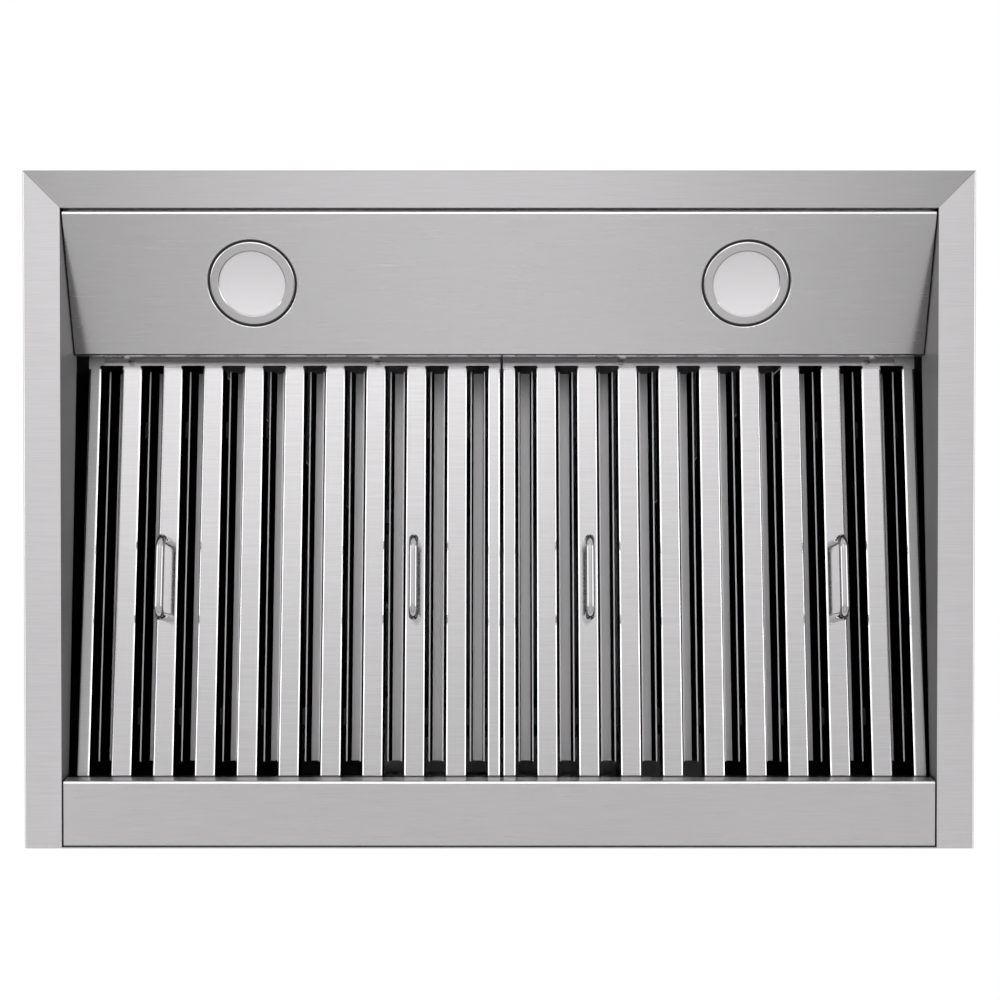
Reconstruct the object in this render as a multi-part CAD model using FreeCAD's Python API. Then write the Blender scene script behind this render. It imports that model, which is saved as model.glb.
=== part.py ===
"""Wall mount range hood with two baffle filters, two lamps, a double inlet blower and a telescoping chimney.

Frame: x = 0 is the middle, y = 0 is the wall, the front faces -Y and z = 0 is the canopy's underside.
All sizes are in millimetres. The canopy is bent and welded from sheet, so most pieces are sheet profiles.
"""
import FreeCAD
import Part
import math
import os

# Canopy and chimney
hood_width = 762.0
hood_depth = 543.0
skirt_height = 100.0
canopy_height = 350.0
chimney_width = 300.0
chimney_depth = 265.0
lower_chimney_height = 430.0
upper_chimney_height = 420.0
upper_chimney_show = 30.0
chimney_foot_width = 14.0
chimney_slide_gap = 0.5
sheet = 1.0
edge_radius = 2.0
flange_width = 30.0
mitre_gap = 0.2
fit_gap = 0.2
run_gap = 0.3

# Side and front returns inside the underside flange
return_peak = 54.0
return_rear = 18.0
front_return_height = 14.0
panel_front_gap = 2.0
panel_side_gap = 1.5
panel_hook = 4.0
bend_radius = 1.5

# Lamp panel
panel_run = 112.7
panel_rise = 42.6
panel_front_lift = 0.0

# Filters
filter_rear_height = 21.3
filter_front_height = 70.3
drip_depth = 54.0
filter_front_overlap = 14.0
filter_rear_overlap = 18.0
filter_side_gap = 4.5
filter_set_over = 2.0
filter_middle_gap = 2.2
filter_sheet = 1.0
filter_thickness = 54.0
slot_pitch = 34.12
slot_width = 17.0
filter_rail_least = 10.0
slot_front_margin = 21.0
slot_rear_margin = 12.0
notch_width = 20.0
notch_length = 3.0
bar_flange_depth = 19.0
bar_bend_radius = 1.2
channel_mouth_depth = 20.5
channel_mouth_width = 12.2
channel_web_width = 12.0
channel_front_margin = 17.5
channel_rear_margin = 30.0
channel_bevel = 5.0
strap_width = 14.0
strap_margin = 60.0

# Filter handles
handle_length = 70.0
handle_height = 38.0
handle_rod = 7.4
handle_bend = 9.0
handle_bar_from_edge = 2
handle_rear_shift = 11.0

# Drip channel
drip_wall_lean = 1.5
drip_side_gap = 1.5
drip_back_height = 24.0
filter_stop_height = 6.0
drain_slot_length = 22.0
drain_slot_width = 6.0
drain_slots = 6

# Lamps
lamp_spacing = hood_width * 0.526
lamp_hole = 72.6
lamp_ring_gap = 1.7
lamp_hole_round = 0.6
lens_diameter = 54.0
lens_thickness = 2.0
lens_recess = 0.4
housing_flange = 100.0
housing_depth = 26.0
housing_wall = 1.5
led_board_thickness = 1.6
stud_diameter = 4.0
stud_height = 5.0
nut_across = 7.0
nut_height = 2.4
studs_per_lamp = 3

# Small screws
screw_shank = 3.0
screw_head = 7.0
screw_head_height = 1.8
screw_length = 5.0
panel_screw_inner = hood_width * 0.135
panel_screw_outer = hood_width * 0.408

# Controls on the skirt
button_count = 5
button_pitch = 32.0
button_diameter = 16.0
button_height = 42.0
button_proud = 3.0
button_travel = 2.0
button_collar = 20.0
button_collar_thickness = 1.5
housing_width = 190.0
housing_height = 30.0
housing_deep = 22.0
board_thickness = 1.6
switch_size = 6.0

# Blower
scroll_width = 160.0
scroll_radius = 120.0
scroll_growth = 9.0
outlet_length = 150.0
axis_drop = 130.0
inlet_diameter = 150.0
inlet_lip = 10.0
impeller_radius = 84.0
impeller_inner_radius = 66.0
impeller_width = 132.0
blade_count = 30
blade_thickness = 1.2
impeller_ring = 3.0
hub_radius = 16.0
shaft_radius = 5.0
motor_radius = 52.0
motor_length = 86.0
motor_stand_off = 30.0
arm_width = 16.0
arm_thickness = 3.0
post_radius = 5.0
scroll_flange = 14.0
screw_row_inset = 7.0

# Outlet collar and damper
collar_diameter = 150.0
collar_height = 62.0
collar_flange = 15.0
damper_height = 34.0
damper_pin_radius = 2.0
damper_flap_gap = 1.2
damper_knuckle = 2.0
damper_ledge = 4.0
knuckles = 6

# Back panel and wall fixings
keyhole_spacing = 220.0
keyhole_head = 12.0
keyhole_neck = 6.0
keyhole_drop = 12.0
keyhole_height = 300.0
fixing_spacing = 620.0
fixing_hole = 6.0
fixing_height = 60.0

# Electrical pieces
wiring_box_width = 90.0
wiring_box_depth = 60.0
wiring_box_height = 40.0
wiring_box_offset = 110.0
gland_hole = 20.0
gland_nut = 27.0
driver_width = 110.0
driver_depth = 42.0
driver_height = 28.0
capacitor_radius = 16.0
capacitor_length = 60.0

# Upper chimney bracket
bracket_height = 36.0
bracket_tab = 40.0
bracket_drop = 4.0
bracket_hole = 6.0
bracket_hole_spacing = 200.0

# Worked out from the sizes above
half_width = hood_width / 2
opening_half = half_width - flange_width
filter_run = hood_depth - flange_width - panel_front_gap - panel_run - drip_depth
filter_slope = math.atan2(filter_front_height - filter_rear_height, filter_run)
panel_front_y = -hood_depth + flange_width + panel_front_gap
panel_rear_y = panel_front_y + panel_run
panel_slope = math.atan2(panel_rise, panel_run)
panel_rear_z = panel_front_lift + panel_rise
filter_length = (filter_run + filter_front_overlap + filter_rear_overlap) / math.cos(filter_slope)
filter_width = opening_half - filter_side_gap - filter_middle_gap / 2
slot_count = int((filter_width - slot_width - 2 * filter_rail_least) / slot_pitch) + 1
panel_half = opening_half - panel_side_gap
axis_z = canopy_height - axis_drop
outlet_y = -chimney_depth / 2
outlet_front = outlet_y - outlet_length / 2
outlet_rear = outlet_y + outlet_length / 2
axis_y = outlet_rear - scroll_radius
plate_x = scroll_width / 2
top_z = canopy_height


def vec(x, y, z):
    return FreeCAD.Vector(x, y, z)


def box(x0, x1, y0, y1, z0, z1):
    """Block between two corners."""
    return Part.makeBox(x1 - x0, y1 - y0, z1 - z0, vec(x0, y0, z0))


def cylinder(radius, start, axis, length):
    return Part.makeCylinder(radius, length, start, axis)


def tube(outer, inner, start, axis, length):
    """Hollow cylinder."""
    return cylinder(outer, start, axis, length).cut(cylinder(inner, start, axis, length))


def polygon_face(points):
    return Part.Face(Part.makePolygon(points + points[:1]))


def prism(points, direction):
    """Solid of a flat outline pushed along a vector."""
    return polygon_face(points).extrude(direction)


def fuse(shapes):
    """One clean solid from pieces that meet."""
    whole = shapes[0].multiFuse(shapes[1:])
    return whole.removeSplitter()


def sheet_edges(points, thickness, inner_radius, place):
    """Closed edges of a bent sheet: the path is one face and the sheet lies on its left."""
    forward = []
    backward = []
    path_start = points[0]
    side_start = None
    for index in range(len(points) - 1):
        p0 = points[index]
        p1 = points[index + 1]
        length = math.hypot(p1[0] - p0[0], p1[1] - p0[1])
        along = ((p1[0] - p0[0]) / length, (p1[1] - p0[1]) / length)
        left = (-along[1], along[0])
        if side_start is None:
            side_start = (p0[0] + left[0] * thickness, p0[1] + left[1] * thickness)
            first_side = side_start
        if index == len(points) - 2:
            side_end = (p1[0] + left[0] * thickness, p1[1] + left[1] * thickness)
            forward.append(Part.LineSegment(place(path_start), place(p1)).toShape())
            backward.append(Part.LineSegment(place(side_end), place(side_start)).toShape())
            last = (p1, side_end)
            continue
        p2 = points[index + 2]
        next_length = math.hypot(p2[0] - p1[0], p2[1] - p1[1])
        ahead = ((p2[0] - p1[0]) / next_length, (p2[1] - p1[1]) / next_length)
        cross = along[0] * ahead[1] - along[1] * ahead[0]
        turn = math.atan2(cross, along[0] * ahead[0] + along[1] * ahead[1])
        sense = 1 if turn > 0 else -1
        path_radius = inner_radius + thickness if turn > 0 else inner_radius
        side_radius = path_radius - sense * thickness
        reach = path_radius * math.tan(abs(turn) / 2)
        tangent_in = (p1[0] - along[0] * reach, p1[1] - along[1] * reach)
        tangent_out = (p1[0] + ahead[0] * reach, p1[1] + ahead[1] * reach)
        swing = sense * path_radius
        centre = (tangent_in[0] + left[0] * swing, tangent_in[1] + left[1] * swing)
        to_corner = math.hypot(p1[0] - centre[0], p1[1] - centre[1])
        toward = ((p1[0] - centre[0]) / to_corner, (p1[1] - centre[1]) / to_corner)
        ahead_left = (-ahead[1], ahead[0])
        side_in = (tangent_in[0] + left[0] * thickness, tangent_in[1] + left[1] * thickness)
        side_out = (tangent_out[0] + ahead_left[0] * thickness, tangent_out[1] + ahead_left[1] * thickness)
        path_middle = (centre[0] + toward[0] * path_radius, centre[1] + toward[1] * path_radius)
        side_middle = (centre[0] + toward[0] * side_radius, centre[1] + toward[1] * side_radius)
        forward.append(Part.LineSegment(place(path_start), place(tangent_in)).toShape())
        forward.append(Part.Arc(place(tangent_in), place(path_middle), place(tangent_out)).toShape())
        backward.append(Part.LineSegment(place(side_in), place(side_start)).toShape())
        backward.append(Part.Arc(place(side_out), place(side_middle), place(side_in)).toShape())
        path_start = tangent_out
        side_start = side_out
    end_cap = Part.LineSegment(place(last[0]), place(last[1])).toShape()
    start_cap = Part.LineSegment(place(first_side), place(points[0])).toShape()
    return forward + [end_cap] + list(reversed(backward)) + [start_cap]


def bent_sheet(points, thickness, inner_radius, place, direction):
    """Bent sheet with an even thickness, from its path in one plane."""
    edges = sheet_edges(points, thickness, inner_radius, place)
    wire = Part.Wire(Part.__sortEdges__(edges))
    return Part.Face(wire).extrude(direction)


def across(x0):
    """Plane of constant x, for profiles in y and z."""
    return lambda point: vec(x0, point[0], point[1])


def along_y(y0):
    """Plane of constant y, for profiles in x and z."""
    return lambda point: vec(point[0], y0, point[1])


def export(name, shapes):
    """Write one named piece, or a group of like pieces, to its file."""
    shape = shapes[0] if len(shapes) == 1 else Part.makeCompound(shapes)
    shape.exportStep(os.path.join("parts", name + ".step"))


def filter_plane_z(y):
    """Height of the filters' underside at a given depth."""
    return filter_rear_height + (-drip_depth - y) * math.tan(filter_slope)


def canopy_block(inset, low, high, rear):
    """Skirt and pyramid as one block, set in from the outer faces."""
    front = -hood_depth + inset
    side = half_width - inset
    neck_front = -chimney_depth + inset
    neck_side = chimney_width / 2 - inset
    deep = [(rear, low), (front, low), (front, skirt_height), (neck_front, canopy_height)]
    wide = [(-side, low), (-side, skirt_height), (-neck_side, canopy_height)]
    if high > canopy_height:
        deep.append((neck_front, high))
        wide.append((-neck_side, high))
    deep.append((rear, high))
    wide = wide + [(-x, z) for x, z in reversed(wide)]
    from_side = prism([vec(-half_width, y, z) for y, z in deep], vec(hood_width, 0, 0))
    from_front = prism([vec(x, rear, z) for x, z in wide], vec(0, -hood_depth - rear, 0))
    return from_side.common(from_front)


def canopy_shell():
    """Bent outer sheet: skirt, pyramid and the flange turned in underneath."""
    outer = canopy_block(0, 0, canopy_height, 0)
    lowest = [edge for edge in outer.Edges if edge.BoundBox.ZMax < fit_gap and edge.BoundBox.YMin < -fit_gap]
    rounded = outer.makeFillet(edge_radius, lowest)
    inside = canopy_block(sheet, sheet, canopy_height + sheet, sheet)
    opening = box(-opening_half, opening_half, -hood_depth + flange_width, sheet, -sheet, 2 * sheet)
    return rounded.cut(inside).cut(opening)


def front_wedge(gap):
    """Region of the front sheet: 45 degree mitres up to the skirt's top, then the hips of the pyramid."""
    edge = half_width - gap
    lean = (half_width - chimney_width / 2) / (hood_depth - chimney_depth)
    hip_y = -chimney_depth + 2 * sheet
    hip_x = chimney_width / 2 - gap - lean * 2 * sheet
    mitre = half_width / 2
    low = [vec(-edge, -hood_depth, -sheet), vec(edge, -hood_depth, -sheet)]
    low += [vec(edge - mitre, -hood_depth + mitre, -sheet), vec(mitre - edge, -hood_depth + mitre, -sheet)]
    high = [vec(-edge, -hood_depth, skirt_height), vec(edge, -hood_depth, skirt_height)]
    high += [vec(hip_x, hip_y, skirt_height), vec(-hip_x, hip_y, skirt_height)]
    lower = prism(low, vec(0, 0, skirt_height + sheet))
    upper = prism(high, vec(0, 0, canopy_height - skirt_height))
    return lower.fuse(upper)


def button_places():
    """Middle of each push button on the skirt."""
    first = -(button_count - 1) / 2 * button_pitch
    return [first + index * button_pitch for index in range(button_count)]


def canopy_front(shell):
    """Front sheet with the front flange, its short return and the button holes."""
    inner_y = -hood_depth + flange_width
    reach = opening_half - mitre_gap
    lip = box(-reach, reach, inner_y - sheet, inner_y, 0, front_return_height)
    front = fuse([shell.common(front_wedge(mitre_gap)), lip])
    for x in button_places():
        start = vec(x, -hood_depth - sheet, button_height)
        hole = cylinder(button_diameter / 2 + run_gap, start, vec(0, 1, 0), 3 * sheet)
        front = front.cut(hole)
    return front


def side_return(side):
    """Upright plate inside the side flange, highest behind the lamp panel."""
    front_y = -hood_depth + flange_width
    rear_y = -sheet - fit_gap
    x0 = opening_half if side > 0 else -opening_half - sheet
    outline = [(front_y, 0), (front_y, sheet), (panel_rear_y, return_peak)]
    outline += [(rear_y, return_rear), (rear_y, 0)]
    return prism([vec(x0, y, z) for y, z in outline], vec(sheet, 0, 0))


def canopy_side(shell, side):
    """Side sheet with its flange and return."""
    reach = side * half_width
    half = box(min(0, reach), max(0, reach), -hood_depth, 0, 0, canopy_height)
    return fuse([shell.cut(front_wedge(0)).common(half), side_return(side)])


def keyhole(x):
    """Keyhole that drops over a screw head, with its neck above."""
    start = vec(x, -2 * sheet, keyhole_height)
    out = vec(0, 1, 0)
    head = cylinder(keyhole_head / 2, start, out, 3 * sheet)
    end = vec(x, -2 * sheet, keyhole_height + keyhole_drop)
    neck_end = cylinder(keyhole_neck / 2, end, out, 3 * sheet)
    neck_half = keyhole_neck / 2
    neck = box(x - neck_half, x + neck_half, -2 * sheet, sheet, keyhole_height, keyhole_height + keyhole_drop)
    return head.fuse([neck_end, neck])


def back_panel():
    """Flat sheet against the wall, with keyholes and lower fixing holes."""
    side = half_width - sheet - fit_gap
    neck = chimney_width / 2 - sheet - fit_gap
    top = canopy_height - sheet
    foot = opening_half - fit_gap
    right = [(foot, 0), (foot, sheet), (side, sheet), (side, skirt_height), (neck, top)]
    outline = right + [(-x, z) for x, z in reversed(right)]
    panel = prism([vec(x, -sheet, z) for x, z in outline], vec(0, sheet, 0))
    for x in (-keyhole_spacing / 2, keyhole_spacing / 2):
        panel = panel.cut(keyhole(x))
    for x in (-fixing_spacing / 2, fixing_spacing / 2):
        start = vec(x, -2 * sheet, fixing_height)
        panel = panel.cut(cylinder(fixing_hole / 2, start, vec(0, 1, 0), 3 * sheet))
    return panel


def outlet_screw_places():
    """Screws that clamp scroll, top plate and collar together."""
    reach = outlet_length / 2 + scroll_flange - screw_row_inset
    x = plate_x - screw_row_inset
    return [(sx * x, outlet_y + sy * reach) for sx in (-1, 1) for sy in (-1, 1)]


def chimney_screw_places():
    """Screws through the lower chimney's feet."""
    x = chimney_width / 2 - chimney_foot_width / 2
    spread = chimney_depth / 4
    return [(sx * x, outlet_y + sy * spread) for sx in (-1, 1) for sy in (-1, 1)]


def screw_hole(x, y, z, depth):
    return cylinder(screw_shank / 2 + fit_gap, vec(x, y, z - depth), vec(0, 0, 1), 2 * depth)


def top_plate():
    """Plate that closes the canopy's top and carries the blower."""
    half = chimney_width / 2 - sheet - fit_gap
    front = -chimney_depth + sheet + fit_gap
    plate = box(-half, half, front, 0, top_z - sheet, top_z)
    low = top_z - 2 * sheet
    plate = plate.cut(box(-plate_x, plate_x, outlet_front + sheet, outlet_rear - sheet, low, top_z + sheet))
    plate = plate.cut(cylinder(gland_hole / 2, gland_place(top_z - 2 * sheet), vec(0, 0, 1), 3 * sheet))
    for x, y in outlet_screw_places() + chimney_screw_places():
        plate = plate.cut(screw_hole(x, y, top_z, 2 * sheet))
    return plate


def gland_place(z):
    """Cable entry beside the collar, near the wall."""
    return vec(wiring_box_offset, -gland_nut, z)


def filter_front_rail():
    """Cross rail behind the lamp panel, whose sloped lip carries the filters' front ends."""
    web_y = panel_rear_y - sheet
    lip_y = panel_rear_y - filter_front_overlap - flange_width / 3
    lap = (filter_front_height - panel_rear_z) / 4
    path = [(web_y, panel_rear_z + lap), (web_y, filter_plane_z(web_y) - run_gap)]
    path.append((lip_y, filter_plane_z(lip_y) - run_gap))
    reach = opening_half - fit_gap
    rail = bent_sheet(path, sheet, bend_radius, across(-reach), vec(2 * reach, 0, 0))
    for x in panel_screw_places():
        rail = rail.cut(panel_screw_hole(x))
    return rail


def panel_screw_places():
    return [-panel_screw_outer, -panel_screw_inner, panel_screw_inner, panel_screw_outer]


def panel_screw_height():
    """Screws sit midway up the lamp panel's return."""
    return (panel_rear_z + filter_front_height) / 2 + bend_radius


def panel_screw_hole(x):
    start = vec(x, panel_rear_y - 4 * sheet, panel_screw_height())
    return cylinder(screw_shank / 2 + fit_gap, start, vec(0, 1, 0), 5 * sheet)


def panel_screws():
    """Pan head screws from the filter side into the rail."""
    screws = []
    for x in panel_screw_places():
        z = panel_screw_height()
        head = cylinder(screw_head / 2, vec(x, panel_rear_y, z), vec(0, 1, 0), screw_head_height)
        crown = [edge for edge in head.Edges if edge.BoundBox.YMin > panel_rear_y + fit_gap and edge.Closed]
        head = head.makeFillet(screw_head_height / 2, crown[:1])
        shank = cylinder(screw_shank / 2, vec(x, panel_rear_y - screw_length, z), vec(0, 1, 0), screw_length)
        screws.append(head.fuse(shank))
    return screws


def lamp_frame(side):
    """Placement at a lamp's middle on the panel's face, z along the panel's inner normal."""
    middle_y = panel_front_y + panel_run / 2
    middle_z = panel_front_lift + panel_rise / 2
    turn = FreeCAD.Rotation(vec(1, 0, 0), math.degrees(panel_slope))
    return FreeCAD.Placement(vec(side * lamp_spacing / 2, middle_y, middle_z), turn)


def placed(shape, placement):
    """Copy of a shape moved into its place."""
    return shape.transformed(placement.toMatrix())


def lamp_panel():
    """Sloped panel, hooked over the front return and screwed to the rail by its upright rear edge."""
    hook_z = front_return_height + fit_gap
    path = [(panel_front_y - panel_front_gap - panel_hook, hook_z), (panel_front_y, hook_z)]
    path += [(panel_front_y, panel_front_lift), (panel_rear_y, panel_rear_z)]
    path.append((panel_rear_y, filter_plane_z(panel_rear_y) - sheet))
    panel = bent_sheet(path, sheet, bend_radius, across(-panel_half), vec(2 * panel_half, 0, 0))
    for side in (-1, 1):
        hole = cylinder(lamp_hole / 2, vec(0, 0, -4 * sheet), vec(0, 0, 1), 8 * sheet)
        panel = panel.cut(placed(hole, lamp_frame(side)))
    rims = []
    for side in (-1, 1):
        centre = lamp_frame(side).Base
        rims += [e for e in panel.Edges if e.Closed and e.CenterOfMass.distanceToPoint(centre) < fit_gap]
    panel = panel.makeFillet(lamp_hole_round, rims)
    for x in panel_screw_places():
        panel = panel.cut(panel_screw_hole(x))
    return panel


def drip_channel():
    """Grease channel along the wall: sloped ledge with a filter stop, leaning wall and flat floor."""
    sink = math.sin(filter_slope)
    rise = math.cos(filter_slope)
    stop_y = -drip_depth + filter_rear_overlap + run_gap
    stop_z = filter_plane_z(stop_y) - run_gap
    wall_y = -drip_depth - drip_wall_lean
    back_y = -sheet
    path = [(stop_y + filter_stop_height * sink, stop_z + filter_stop_height * rise), (stop_y, stop_z)]
    path += [(wall_y, filter_plane_z(wall_y) - run_gap), (-drip_depth, 0)]
    path += [(back_y, 0), (back_y, drip_back_height)]
    reach = opening_half - drip_side_gap
    channel = bent_sheet(path, sheet, bend_radius, across(-reach), vec(2 * reach, 0, 0))
    middle_y = (stop_y + wall_y) / 2
    for index in range(drain_slots):
        x = -reach + (index + 0.5) * 2 * reach / drain_slots
        low = filter_plane_z(middle_y) - 6 * sheet
        slot = box(x - drain_slot_length / 2, x + drain_slot_length / 2, middle_y - drain_slot_width / 2,
                   middle_y + drain_slot_width / 2, low, low + 12 * sheet)
        channel = channel.cut(slot)
    return channel


def turned(points):
    """Solid of revolution about the local z axis from a radius and height outline."""
    outline = [vec(radius, 0, height) for radius, height in points]
    return polygon_face(outline).revolve(vec(0, 0, 0), vec(0, 0, 1), 360)


def lamp_pieces(side):
    """Trim ring, lens, housing and board of one lamp, stacked behind the panel's hole."""
    ring_radius = lamp_hole / 2 - lamp_ring_gap
    lens_radius = lens_diameter / 2
    shoulder = ring_radius + 4 * sheet
    seat = sheet + housing_wall
    cup = shoulder + housing_wall
    lens_flange = lens_radius + 2 * sheet
    ring = turned([(lens_radius, 0), (ring_radius - edge_radius / 4, 0), (ring_radius, edge_radius / 4),
                   (ring_radius, sheet), (shoulder, sheet), (shoulder, seat), (lens_radius, seat)])
    lens = turned([(0, lens_recess), (lens_radius - fit_gap, lens_recess), (lens_radius - fit_gap, seat),
                   (lens_flange, seat), (lens_flange, seat + lens_thickness), (0, seat + lens_thickness)])
    back = seat + housing_wall
    cup_inside = cup - housing_wall
    cup_floor = housing_depth - housing_wall
    profile = [(lens_flange + fit_gap, seat), (housing_flange / 2, seat), (housing_flange / 2, back)]
    profile += [(cup, back), (cup, housing_depth), (0, housing_depth), (0, cup_floor)]
    profile += [(cup_inside, cup_floor), (cup_inside, back), (lens_flange + fit_gap, back)]
    housing = turned(profile)
    for x, y in stud_places():
        hole = cylinder(stud_diameter / 2 + fit_gap, vec(x, y, 0), vec(0, 0, 1), housing_depth / 2)
        housing = housing.cut(hole)
    board_low = cup_floor - led_board_thickness
    board = cylinder(cup_inside - fit_gap, vec(0, 0, board_low), vec(0, 0, 1), led_board_thickness)
    frame = lamp_frame(side)
    return [placed(piece, frame) for piece in (ring, lens, housing, board)]


def stud_places():
    """Welded studs round a lamp, on its housing's flange."""
    cup = lamp_hole / 2 - lamp_ring_gap + 4 * sheet + housing_wall
    circle = cup + nut_across / math.sqrt(3) + fit_gap
    angles = [math.tau * index / studs_per_lamp for index in range(studs_per_lamp)]
    return [(circle * math.cos(angle), circle * math.sin(angle)) for angle in angles]


def lamp_studs():
    """Studs on the panel's back with the nuts that clamp both lamp housings."""
    pieces = []
    seat = sheet + 2 * housing_wall
    for side in (-1, 1):
        for x, y in stud_places():
            stud = cylinder(stud_diameter / 2, vec(x, y, sheet), vec(0, 0, 1), seat - sheet + stud_height)
            corner = nut_across / math.sqrt(3)
            turns = [math.tau * k / 6 for k in range(6)]
            hexagon = [vec(x + corner * math.cos(turn), y + corner * math.sin(turn), seat) for turn in turns]
            nut = prism(hexagon, vec(0, 0, nut_height))
            pieces.append(placed(stud.fuse(nut), lamp_frame(side)))
    return pieces


def filter_frame(side):
    """Placement of a filter: x from its middle, y from front to rear along the slope, z up through it."""
    middle_x = side * (filter_width + filter_middle_gap) / 2 + filter_set_over
    front_y = panel_rear_y - filter_front_overlap
    turn = FreeCAD.Rotation(vec(1, 0, 0), -math.degrees(filter_slope))
    return FreeCAD.Placement(vec(middle_x, front_y, filter_plane_z(front_y)), turn)


def slot_places():
    first = -(slot_count - 1) / 2 * slot_pitch
    return [first + index * slot_pitch for index in range(slot_count)]


def filter_face():
    """Slotted face with its bars' edges bent up, and upright walls all round."""
    half = filter_width / 2
    slot_start = slot_front_margin
    slot_end = filter_length - slot_rear_margin
    bend_start = slot_start + notch_length
    bend_end = slot_end - notch_length
    run = vec(0, bend_end - bend_start, 0)
    slots = slot_places()
    pieces = []
    for left, right in zip(slots[:-1], slots[1:]):
        edge0 = left + slot_width / 2
        edge1 = right - slot_width / 2
        path = [(edge0, bar_flange_depth), (edge0, 0), (edge1, 0), (edge1, bar_flange_depth)]
        pieces.append(bent_sheet(path, filter_sheet, bar_bend_radius, along_y(bend_start), run))
        for y0, y1 in ((slot_start, bend_start), (bend_end, slot_end)):
            pieces.append(box(edge0, edge1, y0, y1, 0, filter_sheet))
    for sign in (-1, 1):
        inner = sign * (slots[-1] + slot_width / 2)
        outer = sign * half
        path = [(inner, bar_flange_depth), (inner, 0), (outer, 0), (outer, filter_thickness)]
        if sign < 0:
            path.reverse()
        pieces.append(bent_sheet(path, filter_sheet, bar_bend_radius, along_y(bend_start), run))
        x0, x1 = sorted((inner, outer))
        wall0, wall1 = sorted((outer, outer - sign * filter_sheet))
        for y0, y1 in ((slot_start, bend_start), (bend_end, slot_end)):
            pieces.append(box(x0, x1, y0, y1, 0, filter_sheet))
            pieces.append(box(wall0, wall1, y0, y1, 0, filter_thickness))
    front = [(0, filter_thickness), (0, 0), (slot_start, 0)]
    rear = [(slot_end, 0), (filter_length, 0), (filter_length, filter_thickness)]
    for path in (front, rear):
        pieces.append(bent_sheet(path, filter_sheet, bar_bend_radius, across(-half), vec(filter_width, 0, 0)))
    notches = [notch(x, y) for x in slots for y in (slot_start, bend_end)]
    return fuse(pieces).cut(Part.makeCompound(notches))


def notch(x, y):
    """Round ended relief across the end of a slot."""
    radius = notch_length / 2
    reach = notch_width / 2 - radius
    depth = 3 * filter_sheet
    middle = box(x - reach, x + reach, y, y + notch_length, -filter_sheet, depth - filter_sheet)
    starts = [vec(end, y + radius, -filter_sheet) for end in (x - reach, x + reach)]
    return middle.multiFuse([cylinder(radius, start, vec(0, 0, 1), depth) for start in starts])


def filter_channel(x):
    """Narrow channel behind a slot, open downwards, with its front end cut back at a slant."""
    y0 = channel_front_margin
    y1 = filter_length - channel_rear_margin
    top = filter_thickness - filter_sheet
    mouth = channel_mouth_width / 2
    web = channel_web_width / 2
    path = [(x + mouth, channel_mouth_depth), (x + web, top)]
    path += [(x - web, top), (x - mouth, channel_mouth_depth)]
    channel = bent_sheet(path, filter_sheet, bar_bend_radius, along_y(y0), vec(0, y1 - y0, 0))
    left = x - slot_pitch / 2
    below = channel_mouth_depth - filter_sheet
    before = y0 - filter_sheet
    slant = [vec(left, before, below), vec(left, y0 + channel_bevel, below)]
    slant.append(vec(left, before, top - 2 * filter_sheet))
    return channel.cut(prism(slant, vec(slot_pitch, 0, 0)))


def filter_straps():
    """Flat straps across the backs of the channels, from wall to wall."""
    reach = filter_width / 2 - filter_sheet
    top = filter_thickness - filter_sheet
    starts = (strap_margin, filter_length - strap_margin - strap_width)
    return [box(-reach, reach, y, y + strap_width, top, top + filter_sheet) for y in starts]


def filter_handle(x):
    """Wire bail standing on the middle of a bar."""
    half = handle_length / 2 - handle_rod / 2
    middle = filter_length / 2 + handle_rear_shift
    crown = -handle_height + handle_rod / 2
    corner = handle_bend * (1 - math.sqrt(0.5))
    y0 = middle - half
    y1 = middle + half
    bend = handle_bend
    edges = [Part.LineSegment(vec(x, y0, 0), vec(x, y0, crown + bend)).toShape()]
    front_mid = vec(x, y0 + corner, crown + corner)
    edges.append(Part.Arc(vec(x, y0, crown + bend), front_mid, vec(x, y0 + bend, crown)).toShape())
    edges.append(Part.LineSegment(vec(x, y0 + bend, crown), vec(x, y1 - bend, crown)).toShape())
    rear_mid = vec(x, y1 - corner, crown + corner)
    edges.append(Part.Arc(vec(x, y1 - bend, crown), rear_mid, vec(x, y1, crown + bend)).toShape())
    edges.append(Part.LineSegment(vec(x, y1, crown + bend), vec(x, y1, 0)).toShape())
    ring = Part.Wire([Part.Circle(vec(x, y0, 0), vec(0, 0, 1), handle_rod / 2).toShape()])
    return Part.Wire(edges).makePipeShell([ring], True, False)


def handle_places():
    """Bars that carry a handle, counted in from each side of the filter."""
    slots = slot_places()
    bar = round(handle_bar_from_edge)
    second = (slots[bar - 1] + slots[bar]) / 2
    return [second, -second]


def button(x):
    """Push button: domed cap through the skirt, trapped by its collar, with a stem to the switch."""
    face = -hood_depth - button_proud
    collar_y = -hood_depth + sheet + run_gap
    out = vec(0, 1, 0)
    cap = cylinder(button_diameter / 2, vec(x, face, button_height), out, collar_y - face)
    rim = [edge for edge in cap.Edges if edge.BoundBox.YMax < face + fit_gap and edge.Closed]
    cap = cap.makeFillet(edge_radius / 2, rim[:1])
    collar = cylinder(button_collar / 2, vec(x, collar_y, button_height), out, button_collar_thickness)
    stem_y = collar_y + button_collar_thickness
    stem_length = switch_y() - button_travel - run_gap - stem_y
    stem = cylinder(switch_size / 2, vec(x, stem_y, button_height), out, stem_length)
    return fuse([cap, collar, stem])


def board_y():
    return -hood_depth + sheet + housing_deep


def switch_y():
    return board_y() - switch_size


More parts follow.
